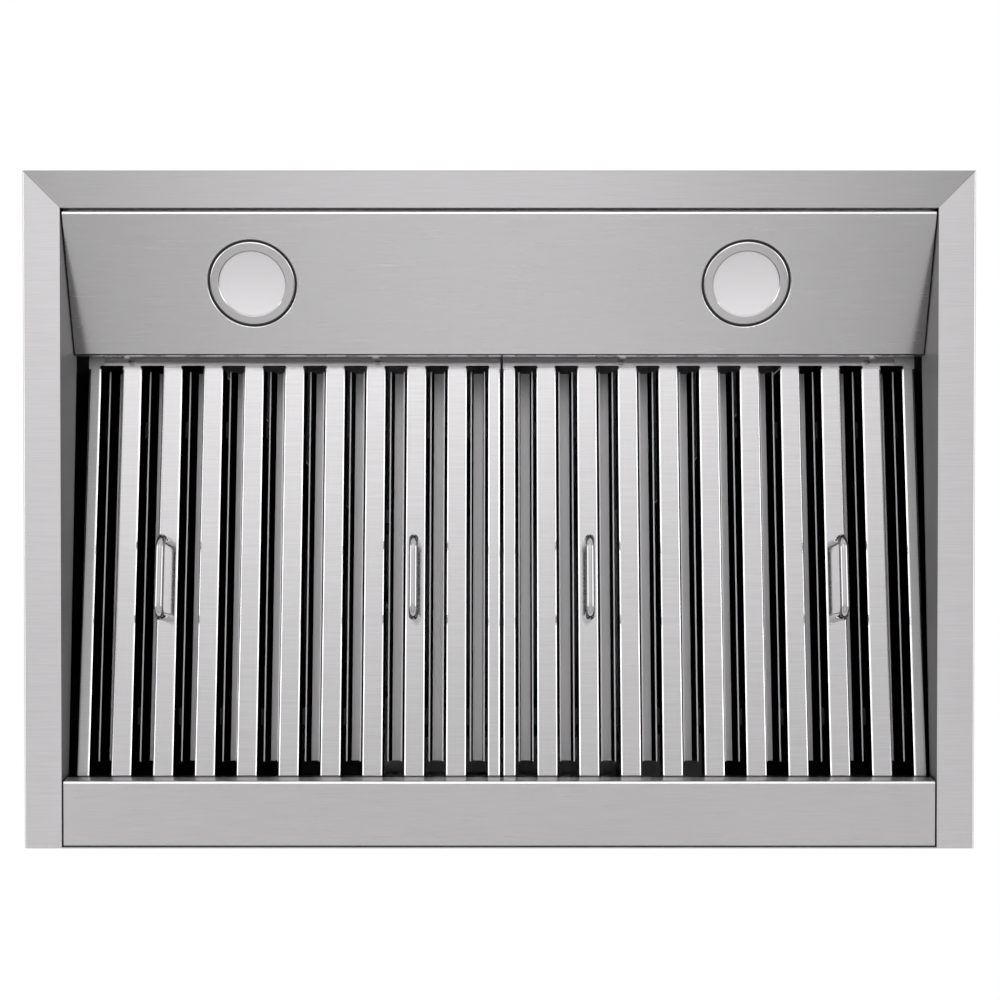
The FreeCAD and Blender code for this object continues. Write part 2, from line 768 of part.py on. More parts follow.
def control_housing():
    """Tray behind the skirt, with a bore round each button's collar."""
    y0 = -hood_depth + sheet
    half = housing_width / 2
    low = button_height - housing_height / 2
    high = button_height + housing_height / 2
    tray = box(-half, half, y0, board_y(), low, high)
    wall = housing_wall
    tray = tray.cut(box(wall - half, half - wall, y0 + 3 * wall, board_y(), low + wall, high - wall))
    for x in button_places():
        start = vec(x, y0, button_height)
        tray = tray.cut(cylinder(button_collar / 2 + run_gap, start, vec(0, 1, 0), housing_deep / 2))
    return tray


def control_board():
    """Board that closes the tray, with a switch behind each button."""
    half = housing_width / 2
    low = button_height - housing_height / 2
    plate = box(-half, half, board_y(), board_y() + board_thickness, low, low + housing_height)
    pieces = [plate]
    for x in button_places():
        pieces.append(box(x - switch_size / 2, x + switch_size / 2, switch_y(), board_y(),
                          button_height - switch_size / 2, button_height + switch_size / 2))
    return fuse(pieces)


def volute_arcs(inset):
    """Start, middle and end points of the scroll's three growing arcs, from rear to front."""
    grow = scroll_growth
    first = scroll_radius - inset
    radii = [first, first - grow, first - 2 * grow]
    centres = [(axis_y, axis_z), (axis_y, axis_z - grow), (axis_y - grow, axis_z - grow)]
    lip_y = outlet_front + inset
    last_angle = math.pi - math.acos((centres[2][0] - lip_y) / radii[2])
    sweeps = [(0, -math.pi / 2), (-math.pi / 2, -math.pi), (-math.pi, last_angle - math.tau)]
    arcs = []
    for centre, radius, (start, end) in zip(centres, radii, sweeps):
        angles = (start, (start + end) / 2, end)
        arcs.append([(centre[0] + radius * math.cos(a), centre[1] + radius * math.sin(a)) for a in angles])
    return arcs


def volute_edges(inset, place):
    """Edges of the scroll's outline, from the outlet's rear top round to its front top."""
    arcs = volute_arcs(inset)
    top = top_z - sheet
    edges = [Part.LineSegment(place((outlet_rear - inset, top)), place(arcs[0][0])).toShape()]
    for start, middle, end in arcs:
        edges.append(Part.Arc(place(start), place(middle), place(end)).toShape())
    edges.append(Part.LineSegment(place(arcs[-1][2]), place((outlet_front + inset, top))).toShape())
    return edges


def blower_scroll():
    """Spiral wall with its outlet lips turned out under the top plate."""
    place = across(-plate_x)
    top = top_z - sheet
    outer = volute_edges(0, place)
    inner = volute_edges(sheet, place)
    rear_cap = Part.LineSegment(place((outlet_rear, top)), place((outlet_rear - sheet, top))).toShape()
    front_cap = Part.LineSegment(place((outlet_front, top)), place((outlet_front + sheet, top))).toShape()
    wire = Part.Wire(Part.__sortEdges__(outer + inner + [rear_cap, front_cap]))
    wall = Part.Face(wire).extrude(vec(scroll_width, 0, 0))
    rear_lip = box(-plate_x, plate_x, outlet_rear - sheet, outlet_rear + scroll_flange, top - sheet, top)
    front_lip = box(-plate_x, plate_x, outlet_front - scroll_flange, outlet_front + sheet, top - sheet, top)
    scroll = fuse([wall, rear_lip, front_lip])
    for x, y in outlet_screw_places():
        scroll = scroll.cut(screw_hole(x, y, top_z, 4 * sheet))
    return scroll


def arm_angles():
    """Directions of the motor's three arms."""
    return [math.radians(90 + 120 * index) for index in range(3)]


def arm_radius():
    """Bolt circle of the motor's posts on the scroll's side."""
    return inlet_diameter / 2 + 2 * post_radius


def blower_plate(side):
    """Scroll's side with a flared inlet."""
    x0 = plate_x if side > 0 else -plate_x - sheet
    place = across(x0)
    outline = volute_edges(0, place)
    top = top_z - sheet
    outline.append(Part.LineSegment(place((outlet_front, top)), place((outlet_rear, top))).toShape())
    plate = Part.Face(Part.Wire(Part.__sortEdges__(outline))).extrude(vec(sheet, 0, 0))
    eye = vec(x0 - sheet, axis_y, axis_z)
    plate = plate.cut(cylinder(inlet_diameter / 2, eye, vec(1, 0, 0), 3 * sheet))
    lip_x = x0 - inlet_lip + sheet if side > 0 else x0
    inlet = inlet_diameter / 2
    lip = tube(inlet + sheet, inlet, vec(lip_x, axis_y, axis_z), vec(1, 0, 0), inlet_lip)
    return fuse([plate, lip])


def impeller():
    """Double inlet wheel: middle disc, hub, two rings and forward curved blades."""
    half = impeller_width / 2
    axis = vec(1, 0, 0)
    middle = vec(-sheet, axis_y, axis_z)
    disc = cylinder(impeller_radius, middle, axis, 2 * sheet)
    hub = cylinder(hub_radius, vec(-hub_radius, axis_y, axis_z), axis, 2 * hub_radius)
    pieces = [disc.fuse(hub)]
    for x in (-half, half - impeller_ring):
        inner = impeller_radius - 2 * sheet
        pieces.append(tube(impeller_radius + sheet, inner, vec(x, axis_y, axis_z), axis, impeller_ring))
    depth = impeller_radius - impeller_inner_radius
    outer = (impeller_radius - sheet / 2) / impeller_radius
    for index in range(blade_count):
        root = math.tau * index / blade_count
        inner_point = (impeller_inner_radius, root)
        middle_point = (impeller_inner_radius + depth / 2, root + 0.2 * depth / impeller_radius)
        outer_point = (impeller_radius * outer, root + 0.9 * depth / impeller_radius)
        pieces.append(blade([inner_point, middle_point, outer_point]))
    return fuse(pieces).cut(cylinder(shaft_radius, vec(-half, axis_y, axis_z), axis, impeller_width))


def blade(points):
    """One curved blade through three points given as radius and angle."""
    half = impeller_width / 2
    spread = blade_thickness / impeller_radius

    def spot(radius, angle):
        return vec(-half, axis_y + radius * math.cos(angle), axis_z + radius * math.sin(angle))

    lead = [spot(radius, angle) for radius, angle in points]
    trail = [spot(radius, angle + spread) for radius, angle in points]
    edges = [Part.Arc(*lead).toShape(), Part.LineSegment(lead[2], trail[2]).toShape()]
    edges += [Part.Arc(trail[2], trail[1], trail[0]).toShape(), Part.LineSegment(trail[0], lead[0]).toShape()]
    return Part.Face(Part.Wire(edges)).extrude(vec(impeller_width, 0, 0))


def spider_x():
    """Outer face of the motor's arms."""
    return -plate_x - sheet - motor_stand_off - arm_thickness


def motor_bracket():
    """Ring with three arms, standing on posts on the scroll's left side."""
    axis = vec(1, 0, 0)
    x0 = spider_x()
    ring = cylinder(motor_radius + post_radius, vec(x0, axis_y, axis_z), axis, arm_thickness)
    pieces = [ring]
    for angle in arm_angles():
        low = axis_z - arm_width / 2
        arm = box(x0, x0 + arm_thickness, axis_y, axis_y + arm_radius(), low, low + arm_width)
        arm.rotate(vec(0, axis_y, axis_z), axis, math.degrees(angle))
        y = axis_y + arm_radius() * math.cos(angle)
        z = axis_z + arm_radius() * math.sin(angle)
        end = cylinder(arm_width / 2, vec(x0, y, z), axis, arm_thickness)
        post = cylinder(post_radius, vec(x0, y, z), axis, motor_stand_off + arm_thickness)
        pieces += [arm, end, post]
    bore_radius = hub_radius + post_radius + fit_gap
    bore = cylinder(bore_radius, vec(x0 - sheet, axis_y, axis_z), axis, 3 * arm_thickness)
    return fuse(pieces).cut(bore)


def motor():
    """Closed motor with rounded end bells and a bearing boss through the bracket's ring."""
    axis = vec(-1, 0, 0)
    start = vec(spider_x(), axis_y, axis_z)
    body = cylinder(motor_radius, start, axis, motor_length)
    rims = [edge for edge in body.Edges if edge.Closed]
    body = body.makeFillet(motor_radius / 6, rims)
    band = cylinder(motor_radius + 2 * sheet, start + axis * (motor_length / 3), axis, motor_length / 3)
    boss = cylinder(hub_radius + post_radius, start - axis * arm_thickness, axis, 2 * arm_thickness)
    bore = cylinder(shaft_radius + run_gap, start - axis * motor_length, axis, 2 * motor_length - hub_radius)
    return fuse([body, band, boss]).cut(bore)


def motor_shaft():
    """Shaft from the motor's rear bearing to the wheel's hub."""
    start = spider_x() - motor_length + hub_radius + run_gap
    return cylinder(shaft_radius, vec(start, axis_y, axis_z), vec(1, 0, 0), hub_radius - start)


def damper_z():
    return top_z + damper_height


def outlet_collar():
    """Round duct collar with a flat foot, a ledge for the damper flaps and holes for their pin."""
    radius = collar_diameter / 2
    up = vec(0, 0, 1)
    half_x = plate_x + collar_flange
    half_y = outlet_length / 2 + scroll_flange
    foot = box(-half_x, half_x, outlet_y - half_y, outlet_y + half_y, top_z, top_z + sheet)
    pipe = cylinder(radius, vec(0, outlet_y, top_z), up, collar_height)
    bore = cylinder(radius - sheet, vec(0, outlet_y, top_z - sheet), up, collar_height + 2 * sheet)
    ledge_z = damper_z() - sheet / 2 - run_gap - sheet
    ledge = tube(radius - sheet / 2, radius - sheet - damper_ledge, vec(0, outlet_y, ledge_z), up, sheet)
    collar = fuse([foot.fuse(pipe).cut(bore), ledge])
    reach = radius + sheet
    pin_start = vec(-reach, outlet_y, damper_z())
    pin_hole = cylinder(damper_pin_radius + fit_gap, pin_start, vec(1, 0, 0), 2 * reach)
    collar = collar.cut(pin_hole)
    for x, y in outlet_screw_places():
        collar = collar.cut(screw_hole(x, y, top_z, 2 * sheet))
    return collar


def damper_pin():
    reach = collar_diameter / 2 - fit_gap
    return cylinder(damper_pin_radius, vec(-reach, outlet_y, damper_z()), vec(1, 0, 0), 2 * reach)


def damper_flap(side):
    """Half round flap with knuckles on every other stretch of the pin."""
    radius = collar_diameter / 2 - sheet - damper_flap_gap
    barrel = damper_pin_radius + damper_knuckle
    clear = barrel + run_gap
    disc = cylinder(radius, vec(0, outlet_y, damper_z() - sheet / 2), vec(0, 0, 1), sheet)
    edge = outlet_y + side * clear
    far = outlet_y + side * collar_diameter
    y0, y1 = sorted((edge, far))
    flap = disc.common(box(-radius, radius, y0, y1, damper_z() - sheet, damper_z() + sheet))
    reach = radius - damper_ledge - barrel
    step = 2 * reach / knuckles
    pieces = [flap]
    for index in range(0 if side < 0 else 1, knuckles, 2):
        x0 = -reach + index * step + run_gap
        length = step - 2 * run_gap
        pieces.append(cylinder(barrel, vec(x0, outlet_y, damper_z()), vec(1, 0, 0), length))
        web0, web1 = sorted((outlet_y, edge + side * sheet))
        pieces.append(box(x0, x0 + length, web0, web1, damper_z() - sheet / 2, damper_z() + sheet / 2))
    bore = cylinder(damper_pin_radius + run_gap, vec(-radius, outlet_y, damper_z()), vec(1, 0, 0), 2 * radius)
    return fuse(pieces).cut(bore)


def plan(z0):
    """Horizontal plane, for profiles in x and y."""
    return lambda point: vec(point[0], point[1], z0)


def down_screw(x, y, z, length):
    """Pan head screw driven down into a seat."""
    head = cylinder(screw_head / 2, vec(x, y, z), vec(0, 0, 1), screw_head_height)
    return head.fuse(cylinder(screw_shank / 2, vec(x, y, z - length), vec(0, 0, 1), length))


def lower_chimney():
    """Three sided cover on the canopy, with feet turned in under it."""
    half = chimney_width / 2
    path = [(-half, 0), (-half, -chimney_depth), (half, -chimney_depth), (half, 0)]
    cover = bent_sheet(path, sheet, bend_radius, plan(top_z), vec(0, 0, lower_chimney_height))
    pieces = [cover]
    for side in (-1, 1):
        x0, x1 = sorted((side * (half - sheet / 2), side * (half - chimney_foot_width)))
        pieces.append(box(x0, x1, -chimney_depth * 0.9, -chimney_depth * 0.1, top_z, top_z + sheet))
    cover = fuse(pieces)
    for x, y in chimney_screw_places():
        cover = cover.cut(screw_hole(x, y, top_z, 2 * sheet))
    return cover


def upper_half():
    return chimney_width / 2 - sheet - chimney_slide_gap


def upper_top():
    return top_z + lower_chimney_height + upper_chimney_show


def upper_chimney():
    """Cover that slides inside the lower one, with its rear edges turned in along the wall."""
    half = upper_half()
    front = -chimney_depth + sheet + chimney_slide_gap
    path = [(chimney_foot_width - half, -fit_gap), (-half, -fit_gap), (-half, front)]
    path += [(-x, y) for x, y in reversed(path)]
    foot = plan(upper_top() - upper_chimney_height)
    cover = bent_sheet(path, sheet, bend_radius, foot, vec(0, 0, upper_chimney_height))
    for side in (-1, 1):
        hole = cylinder(screw_shank / 2 + fit_gap, bracket_screw_place(0), vec(side, 0, 0), 2 * half)
        cover = cover.cut(hole)
    return cover


def bracket_screw_place(x):
    """Screws through the upper cover's sides, in the stretch that stays above the lower cover."""
    return vec(x, -bracket_tab * 0.6, upper_top() - upper_chimney_show / 2)


def chimney_bracket():
    """Wall bracket inside the upper cover's top."""
    half = upper_half() - sheet - fit_gap
    rear = -fit_gap - sheet
    high = upper_top() - bracket_drop
    path = [(half, rear - bracket_tab), (half, rear), (-half, rear), (-half, rear - bracket_tab)]
    strip = bent_sheet(path, sheet, bend_radius, plan(high - bracket_height), vec(0, 0, bracket_height))
    for side in (-1, 1):
        x = side * bracket_hole_spacing / 2
        start = vec(x, rear - 2 * sheet, high - bracket_height / 2)
        hole = cylinder(bracket_hole / 2, start, vec(0, 1, 0), 3 * sheet)
        strip = strip.cut(hole)
        bore = screw_shank / 2 + fit_gap
        strip = strip.cut(cylinder(bore, bracket_screw_place(0), vec(side, 0, 0), 2 * half))
    return strip


def bracket_screws():
    screws = []
    for side in (-1, 1):
        outward = vec(side, 0, 0)
        seat = bracket_screw_place(side * upper_half())
        head = cylinder(screw_head / 2, seat, outward, screw_head_height)
        shank = cylinder(screw_shank / 2, seat - outward * screw_length, outward, screw_length)
        screws.append(head.fuse(shank))
    return screws


def wiring_box_corner():
    """Lower, wall side corner of the wiring box on the back panel."""
    return vec(wiring_box_offset, -sheet, canopy_height - axis_drop - wiring_box_height / 2)


def wiring_box():
    """Tray on the back panel, open to the front."""
    low = wiring_box_corner()
    x1 = low.x + wiring_box_width
    z1 = low.z + wiring_box_height
    y0 = low.y - wiring_box_depth
    tray = box(low.x, x1, y0, low.y, low.z, z1)
    wall = housing_wall
    return tray.cut(box(low.x + wall, x1 - wall, y0 - wall, low.y - wall, low.z + wall, z1 - wall))


def wiring_box_cover():
    low = wiring_box_corner()
    y1 = low.y - wiring_box_depth
    return box(low.x, low.x + wiring_box_width, y1 - housing_wall, y1, low.z, low.z + wiring_box_height)


def capacitor():
    """Motor capacitor lying in the wiring box."""
    low = wiring_box_corner()
    x = low.x + (wiring_box_width - capacitor_length) / 2
    y = low.y - housing_wall - capacitor_radius - run_gap
    z = low.z + housing_wall + capacitor_radius + run_gap
    return cylinder(capacitor_radius, vec(x, y, z), vec(1, 0, 0), capacitor_length)


def cable_gland():
    """Cable entry in the top plate: flanged bush with its nut underneath."""
    up = vec(0, 0, 1)
    bush = cylinder(gland_hole / 2 - fit_gap, gland_place(top_z - 6 * sheet), up, 10 * sheet)
    rim = cylinder(gland_nut / 2, gland_place(top_z), up, 3 * sheet)
    nut = cylinder(gland_nut / 2, gland_place(top_z - 5 * sheet), up, 4 * sheet)
    bore = cylinder(gland_hole / 4, gland_place(top_z - 10 * sheet), up, 20 * sheet)
    return fuse([bush, rim, nut]).cut(bore)


def led_driver():
    """Potted lamp supply on the back panel, with feet at its ends."""
    low = wiring_box_corner()
    x1 = -wiring_box_offset
    x0 = x1 - driver_width
    ear = driver_height / 2
    body = box(x0 + ear, x1 - ear, low.y - driver_depth, low.y, low.z, low.z + driver_height)
    long_edges = [edge for edge in body.Edges if edge.BoundBox.YMax < low.y - driver_depth + fit_gap]
    body = body.makeFillet(edge_radius, long_edges)
    foot = box(x0, x1, low.y - 3 * sheet, low.y, low.z, low.z + driver_height)
    return fuse([body, foot])


def build():
    os.makedirs("parts", exist_ok=True)
    shell = canopy_shell()
    export("canopy_front", [canopy_front(shell)])
    export("canopy_left_side", [canopy_side(shell, -1)])
    export("canopy_right_side", [canopy_side(shell, 1)])
    export("back_panel", [back_panel()])
    export("top_plate", [top_plate()])
    export("filter_front_rail", [filter_front_rail()])
    export("lamp_panel", [lamp_panel()])
    export("lamp_panel_screws", panel_screws())
    export("drip_channel", [drip_channel()])
    face = filter_face()
    channels = [filter_channel(x) for x in slot_places()]
    handles = [filter_handle(x) for x in handle_places()]
    for name, side in (("left", -1), ("right", 1)):
        for piece, shape in zip(("trim_ring", "lens", "housing", "led_board"), lamp_pieces(side)):
            export(name + "_lamp_" + piece, [shape])
        frame = filter_frame(side)
        export(name + "_filter_face", [placed(face, frame)])
        export(name + "_filter_channels", [placed(shape, frame) for shape in channels])
        export(name + "_filter_straps", [placed(shape, frame) for shape in filter_straps()])
        export(name + "_filter_handles", [placed(shape, frame) for shape in handles])
        export("blower_" + name + "_plate", [blower_plate(side)])
    export("lamp_studs", lamp_studs())
    for index, x in enumerate(button_places(), 1):
        export("button_" + str(index), [button(x)])
    export("control_housing", [control_housing()])
    export("control_board", [control_board()])
    export("blower_scroll", [blower_scroll()])
    export("impeller", [impeller()])
    export("motor_shaft", [motor_shaft()])
    export("motor", [motor()])
    export("motor_bracket", [motor_bracket()])
    export("outlet_collar", [outlet_collar()])
    export("damper_pin", [damper_pin()])
    export("front_damper_flap", [damper_flap(-1)])
    export("rear_damper_flap", [damper_flap(1)])
    export("outlet_screws", [down_screw(x, y, top_z + sheet, screw_length) for x, y in outlet_screw_places()])
    export("lower_chimney", [lower_chimney()])
    export("upper_chimney", [upper_chimney()])
    places = chimney_screw_places()
    export("chimney_screws", [down_screw(x, y, top_z + sheet, screw_length) for x, y in places])
    export("chimney_bracket", [chimney_bracket()])
    export("bracket_screws", bracket_screws())
    export("wiring_box", [wiring_box()])
    export("wiring_box_cover", [wiring_box_cover()])
    export("capacitor", [capacitor()])
    export("cable_gland", [cable_gland()])
    export("led_driver", [led_driver()])


build()
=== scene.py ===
"""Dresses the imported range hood: brushed sheet, baffle filters, lamps, controls and the stage."""

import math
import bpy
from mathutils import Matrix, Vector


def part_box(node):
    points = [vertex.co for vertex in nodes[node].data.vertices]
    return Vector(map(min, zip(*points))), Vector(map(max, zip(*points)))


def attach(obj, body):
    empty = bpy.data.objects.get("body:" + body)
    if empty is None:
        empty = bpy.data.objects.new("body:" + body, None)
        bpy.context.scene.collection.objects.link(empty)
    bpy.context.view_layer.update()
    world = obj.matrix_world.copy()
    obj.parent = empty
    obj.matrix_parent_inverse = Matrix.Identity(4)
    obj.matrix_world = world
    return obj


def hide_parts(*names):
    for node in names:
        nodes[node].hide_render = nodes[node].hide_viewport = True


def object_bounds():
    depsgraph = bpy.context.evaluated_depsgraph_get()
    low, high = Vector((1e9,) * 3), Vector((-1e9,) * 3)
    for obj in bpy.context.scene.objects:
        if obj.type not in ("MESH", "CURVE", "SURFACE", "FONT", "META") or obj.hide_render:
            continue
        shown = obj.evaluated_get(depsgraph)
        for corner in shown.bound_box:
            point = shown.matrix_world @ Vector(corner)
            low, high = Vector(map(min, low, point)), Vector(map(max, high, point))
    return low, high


bl_info = {
    "name": "Wall mount range hood",
    "version": (1, 0, 0),
    "blender": (4, 5, 0),
    "location": "View3D > Sidebar > Range hood",
    "description": "Finishes, fine pieces and stage of a wall mount range hood",
    "category": "Object",
}

import bmesh
import bpy
from bpy.props import FloatProperty, FloatVectorProperty, IntProperty, PointerProperty
from mathutils import Matrix, Vector

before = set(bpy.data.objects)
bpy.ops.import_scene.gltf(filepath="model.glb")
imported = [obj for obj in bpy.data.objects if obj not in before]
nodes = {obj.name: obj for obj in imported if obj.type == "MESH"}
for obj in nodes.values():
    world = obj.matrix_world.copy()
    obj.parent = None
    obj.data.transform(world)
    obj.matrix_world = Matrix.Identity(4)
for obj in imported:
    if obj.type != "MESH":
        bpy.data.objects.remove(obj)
cad_box = [list(corner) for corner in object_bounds()]
HALF_WIDTH = cad_box[1][0]
# Facing limits, as shares of a unit normal
SIDEWAYS = 0.8
LOOKS_BACK = 0.5
LOOKS_FORWARD = -0.1
LOOKS_DOWN = -0.7
LOOKS_IN = -0.7
LOOKS_AT_WALL = 0.9
EDGE_START = 0.97
EDGE_END = 0.42
BEND_FACING = 0.25
WALL_FACING = 0.93
# Brushing: noise scale along and across the grain, shares and swings
ALONG_GRAIN = 26.0
LANES = 1300.0
FINE_SHARE = 0.9
BROAD_SHARE = 0.1
BROAD_STRETCH = (0.4, 0.12, 0.12)
CLOUD_SCALE = 7.0
CLOUD_SWING = 0.08
STREAK_ROUGHNESS = 0.6
ACROSS_GRAIN = 0.25
BUMP_HEIGHT = 0.0002
# Speckle: shares of the fine noise and of the cloud
SPECKLE_SHARE = 0.6
SPECKLE_CLOUD_SHARE = 0.4
SPECKLE_CLOUD_SCALE = 18.0
# Polished edges, filter rails, the painted shadow line, the lens's painted shade, and the painted highlight
# and shade on the lamp panel's return
EDGE_ROUGHNESS = 0.14
RAIL_WIDTH = 0.0125
RAIL_ROUGHNESS = 0.5
LINE_START = 0.0125
LINE_FACING = -0.3
LENS_FRONT_SHADE = 0.84
RETURN_BRIGHT = 0.054
RETURN_DARK = 0.058
RETURN_GLEAM = 1.9
# Lamp panel's rise and run in millimetres
PANEL_RISE = 42.6
PANEL_RUN = 112.7
# Turned pieces and screws
WELD_DISTANCE = 1e-6
SHARP_CORNER = math.radians(40.0)
ROUND_STEPS = 5
DISH_STEPS = 14
LIP_STEPS = 8
LIP_PROUD = 0.00003
LIP_WALL = 0.7
CLEARANCE = 0.0002
SCREW_STEPS = 32
CROWN_STEPS = 10
CROWN_TIP = 0.3
CROWN_POWER = 3.0
BUTTON_COUNT = 5
SENSOR_WIDTH = 36.0
FLOOR_ROUGHNESS = 0.8
SCREW_INPUTS = (
    "Head diameter", "Head height", "Shank diameter", "Shank length",
    "Recess depth", "Recess width", "Recess length")
SCREW_SETS = (
    ("lamp_panel_screws", (0.0, 1.0, 0.0), "hood"),
    ("outlet_screws", (0.0, 0.0, 1.0), "hood"),
    ("chimney_screws", (0.0, 0.0, 1.0), "hood"),
    ("bracket_screws", None, "chimney_top"),
)


def colour_prop(label, words, value):
    """A colour that a user may change."""
    return FloatVectorProperty(
        name=label, description=words, default=value, subtype="COLOR", size=3, min=0.0, max=1.0)


def length_prop(label, words, value):
    """A length in metres that a user may change."""
    return FloatProperty(
        name=label, description=words, default=value, unit="LENGTH", subtype="DISTANCE", precision=4)


def point_prop(label, words, value):
    """A place in the frame that a user may change."""
    return FloatVectorProperty(
        name=label, description=words, default=value, subtype="TRANSLATION", unit="LENGTH")


def level_prop(label, words, value):
    """A power or strength that a user may change."""
    return FloatProperty(name=label, description=words, default=value, min=0.0)


class HoodFinishes(bpy.types.PropertyGroup):
    """Colours of the finishes."""
    stainless: colour_prop("Stainless", "Brushed sheet of the canopy and chimney", (0.500, 0.490, 0.498))
    panel: colour_prop("Lamp panel", "Brushed sheet of the sloped lamp panel", (0.535, 0.524, 0.532))
    filter_steel: colour_prop("Filter bars", "Bright face of the baffle filters", (0.498, 0.488, 0.496))
    # Webs lightened as painted light, making up for the shade in the channels
    filter_web_and_painted_light: colour_prop("Filter webs", "Channels behind the slots", (0.800, 0.783, 0.796))
    strip: colour_prop("Drip strip", "Brushed sheet of the drip strip", (0.535, 0.524, 0.532))
    wire: colour_prop("Handle wire", "Polished wire of the filter handles", (0.450, 0.441, 0.448))
    ring: colour_prop("Lamp ring", "Turned ring round each lamp", (0.480, 0.470, 0.478))
    lens: colour_prop("Lens", "Frosted lens of each lamp", (0.812, 0.795, 0.808))
    lamp_housing: colour_prop("Lamp housing", "Die cast cup behind each lamp", (0.50, 0.50, 0.51))
    board: colour_prop("Circuit board", "Lacquered circuit board", (0.02, 0.16, 0.07))
    black_plastic: colour_prop("Black plastic", "Moulded housings", (0.018, 0.018, 0.019))
    gasket: colour_prop("Gasket", "Rubber round each lamp ring", (0.006, 0.006, 0.006))
    motor_paint: colour_prop("Motor paint", "Painted motor case", (0.045, 0.047, 0.05))
    # Darkened as painted shade for the sheet inside the canopy behind the filters
    galvanised_in_painted_shade: colour_prop("Galvanised sheet darkened as painted shade", "Zinc coated sheet inside the canopy", (0.10, 0.102, 0.105))
    zinc: colour_prop("Zinc sheet", "Zinc coated sheet at the back of the hood", (0.46, 0.463, 0.468))
    fastener: colour_prop("Fasteners", "Zinc plated screws and nuts", (0.55, 0.55, 0.54))


class HoodSizes(bpy.types.PropertyGroup):
    """Sizes of the fine pieces."""
    screw_head: length_prop("Screw head", "Diameter of a pan head", 0.007)
    screw_head_height: length_prop("Screw head height", "Height of a pan head", 0.0018)
    screw_shank: length_prop("Screw shank", "Diameter of a screw's shank", 0.003)
    screw_length: length_prop("Screw length", "Length of a screw under its head", 0.005)
    recess_depth: length_prop("Recess depth", "Depth of the cross recess in a screw head", 0.0009)
    recess_width: length_prop("Recess width", "Width of one slot of the cross recess", 0.0009)
    recess_length: length_prop("Recess length", "Length of one slot of the cross recess", 0.0042)
    panel_slope: FloatProperty(
        name="Lamp panel slope", description="Slope of the lamp panel", subtype="ANGLE", unit="ROTATION",
        default=math.atan2(PANEL_RISE, PANEL_RUN))
    lens_radius: length_prop("Lens radius", "Radius of the frosted lens", 0.027)
    lens_dish: length_prop("Lens dish", "How far the lens is dished in the middle", 0.003)
    lens_recess: length_prop("Lens recess", "Depth of the lens behind the ring's face", 0.0004)
    lens_lip: length_prop("Lens lip", "Width of the lens's raised lip", 0.0006)
    lens_flange: length_prop("Lens flange", "Radius of the lens's flange behind the ring", 0.029)
    lens_back: length_prop("Lens back", "Height of the lens's back over the panel's face", 0.0045)
    ring_radius: length_prop("Ring radius", "Radius of the lamp ring's face", 0.0346)
    ring_shoulder: length_prop("Ring shoulder", "Radius of the shoulder behind the panel", 0.0386)
    ring_step: length_prop("Ring step", "Height of the shoulder over the ring's face", 0.001)
    ring_seat: length_prop("Ring seat", "Height of the ring's back over its face", 0.0025)
    lip_radius: length_prop("Lip radius", "Outer radius of the panel's rolled lip round a lamp", 0.0374)
    lip_width: length_prop("Lip width", "Width of the rolled lip", 0.0014)
    lip_depth: length_prop("Lip depth", "How far the lip rolls into the hole", 0.0009)
    ring_round: length_prop("Ring edge", "Radius of the ring's outer edge", 0.0014)
    turned_steps: IntProperty(
        name="Turned steps", description="Steps round each turned piece", default=96, min=12, max=256)


class HoodStage(bpy.types.PropertyGroup):
    """Camera, floor and lights."""
    camera_place: point_prop("Camera", "Place of the camera under the hood", (0.0006, -0.2983, -1.362))
    camera_target: point_prop("Target", "Point that the camera looks at", (0.0006, -0.2796, 0.0))
    camera_lens: FloatProperty(name="Lens", description="Focal length in millimetres", default=61.29, min=1.0)
    floor_height: length_prop("Floor", "Height of the floor under the hood", -1.75)
    floor_size: length_prop("Floor size", "Side of the square floor", 5.2)
    floor_colour: colour_prop("Floor colour", "Pale floor", (0.86, 0.86, 0.86))
    front_power: level_prop("Front light", "Power of the front softbox", 27.5)
    side_power: level_prop("Side lights", "Power of each side softbox", 7.0)
    rear_power: level_prop("Rear light", "Power of the rear softbox", 6.2)
    top_power: level_prop("Top light", "Power of the overhead softbox", 14.0)
    sky: level_prop("Sky", "Strength of the soft light all round", 0.5)


def socket(group, name, kind, way, value=None):
    """A named socket on a node group."""
    made = group.interface.new_socket(name=name, in_out=way, socket_type="NodeSocket" + kind)
    if value is not None:
        made.default_value = value
    return made


def add_node(tree, kind, **settings):
    """A node with its settings."""
    made = tree.nodes.new(kind)
    for key, value in settings.items():
        setattr(made, key, value)
    return made


def math_node(tree, operation, first, second):
    """A Math node; each side is a socket or a number."""
    made = add_node(tree, "ShaderNodeMath", operation=operation)
    for place, source in enumerate((first, second)):
        if isinstance(source, (int, float)):
            made.inputs[place].default_value = source
        else:
            tree.links.new(source, made.inputs[place])
    return made.outputs["Value"]


def noise(tree, vector, scale, detail, roughness=0.5):
    """The value of a noise texture on that vector."""
    made = add_node(tree, "ShaderNodeTexNoise")
    made.inputs["Scale"].default_value = scale
    made.inputs["Detail"].default_value = detail
    made.inputs["Roughness"].default_value = roughness
    tree.links.new(vector, made.inputs["Vector"])
    return made.outputs["Fac"]


def stretched(tree, vector, scale):
    """The vector times three numbers."""
    made = add_node(tree, "ShaderNodeMapping")
    made.inputs["Scale"].default_value = scale
    tree.links.new(vector, made.inputs["Vector"])
    return made.outputs["Vector"]


def start_group(name):
    """A new shader node group with its input and output nodes."""
    group = bpy.data.node_groups.new(name, "ShaderNodeTree")
    return group, add_node(group, "NodeGroupInput"), add_node(group, "NodeGroupOutput")


def scaled_tone(tree, colour, amount):
    """A colour times a grey amount."""
    made = add_node(tree, "ShaderNodeMix", data_type="RGBA", blend_type="MULTIPLY")
    made.inputs["Factor"].default_value = 1.0
    tree.links.new(colour, made.inputs["A"])
    tree.links.new(amount, made.inputs["B"])
    return made.outputs["Result"]


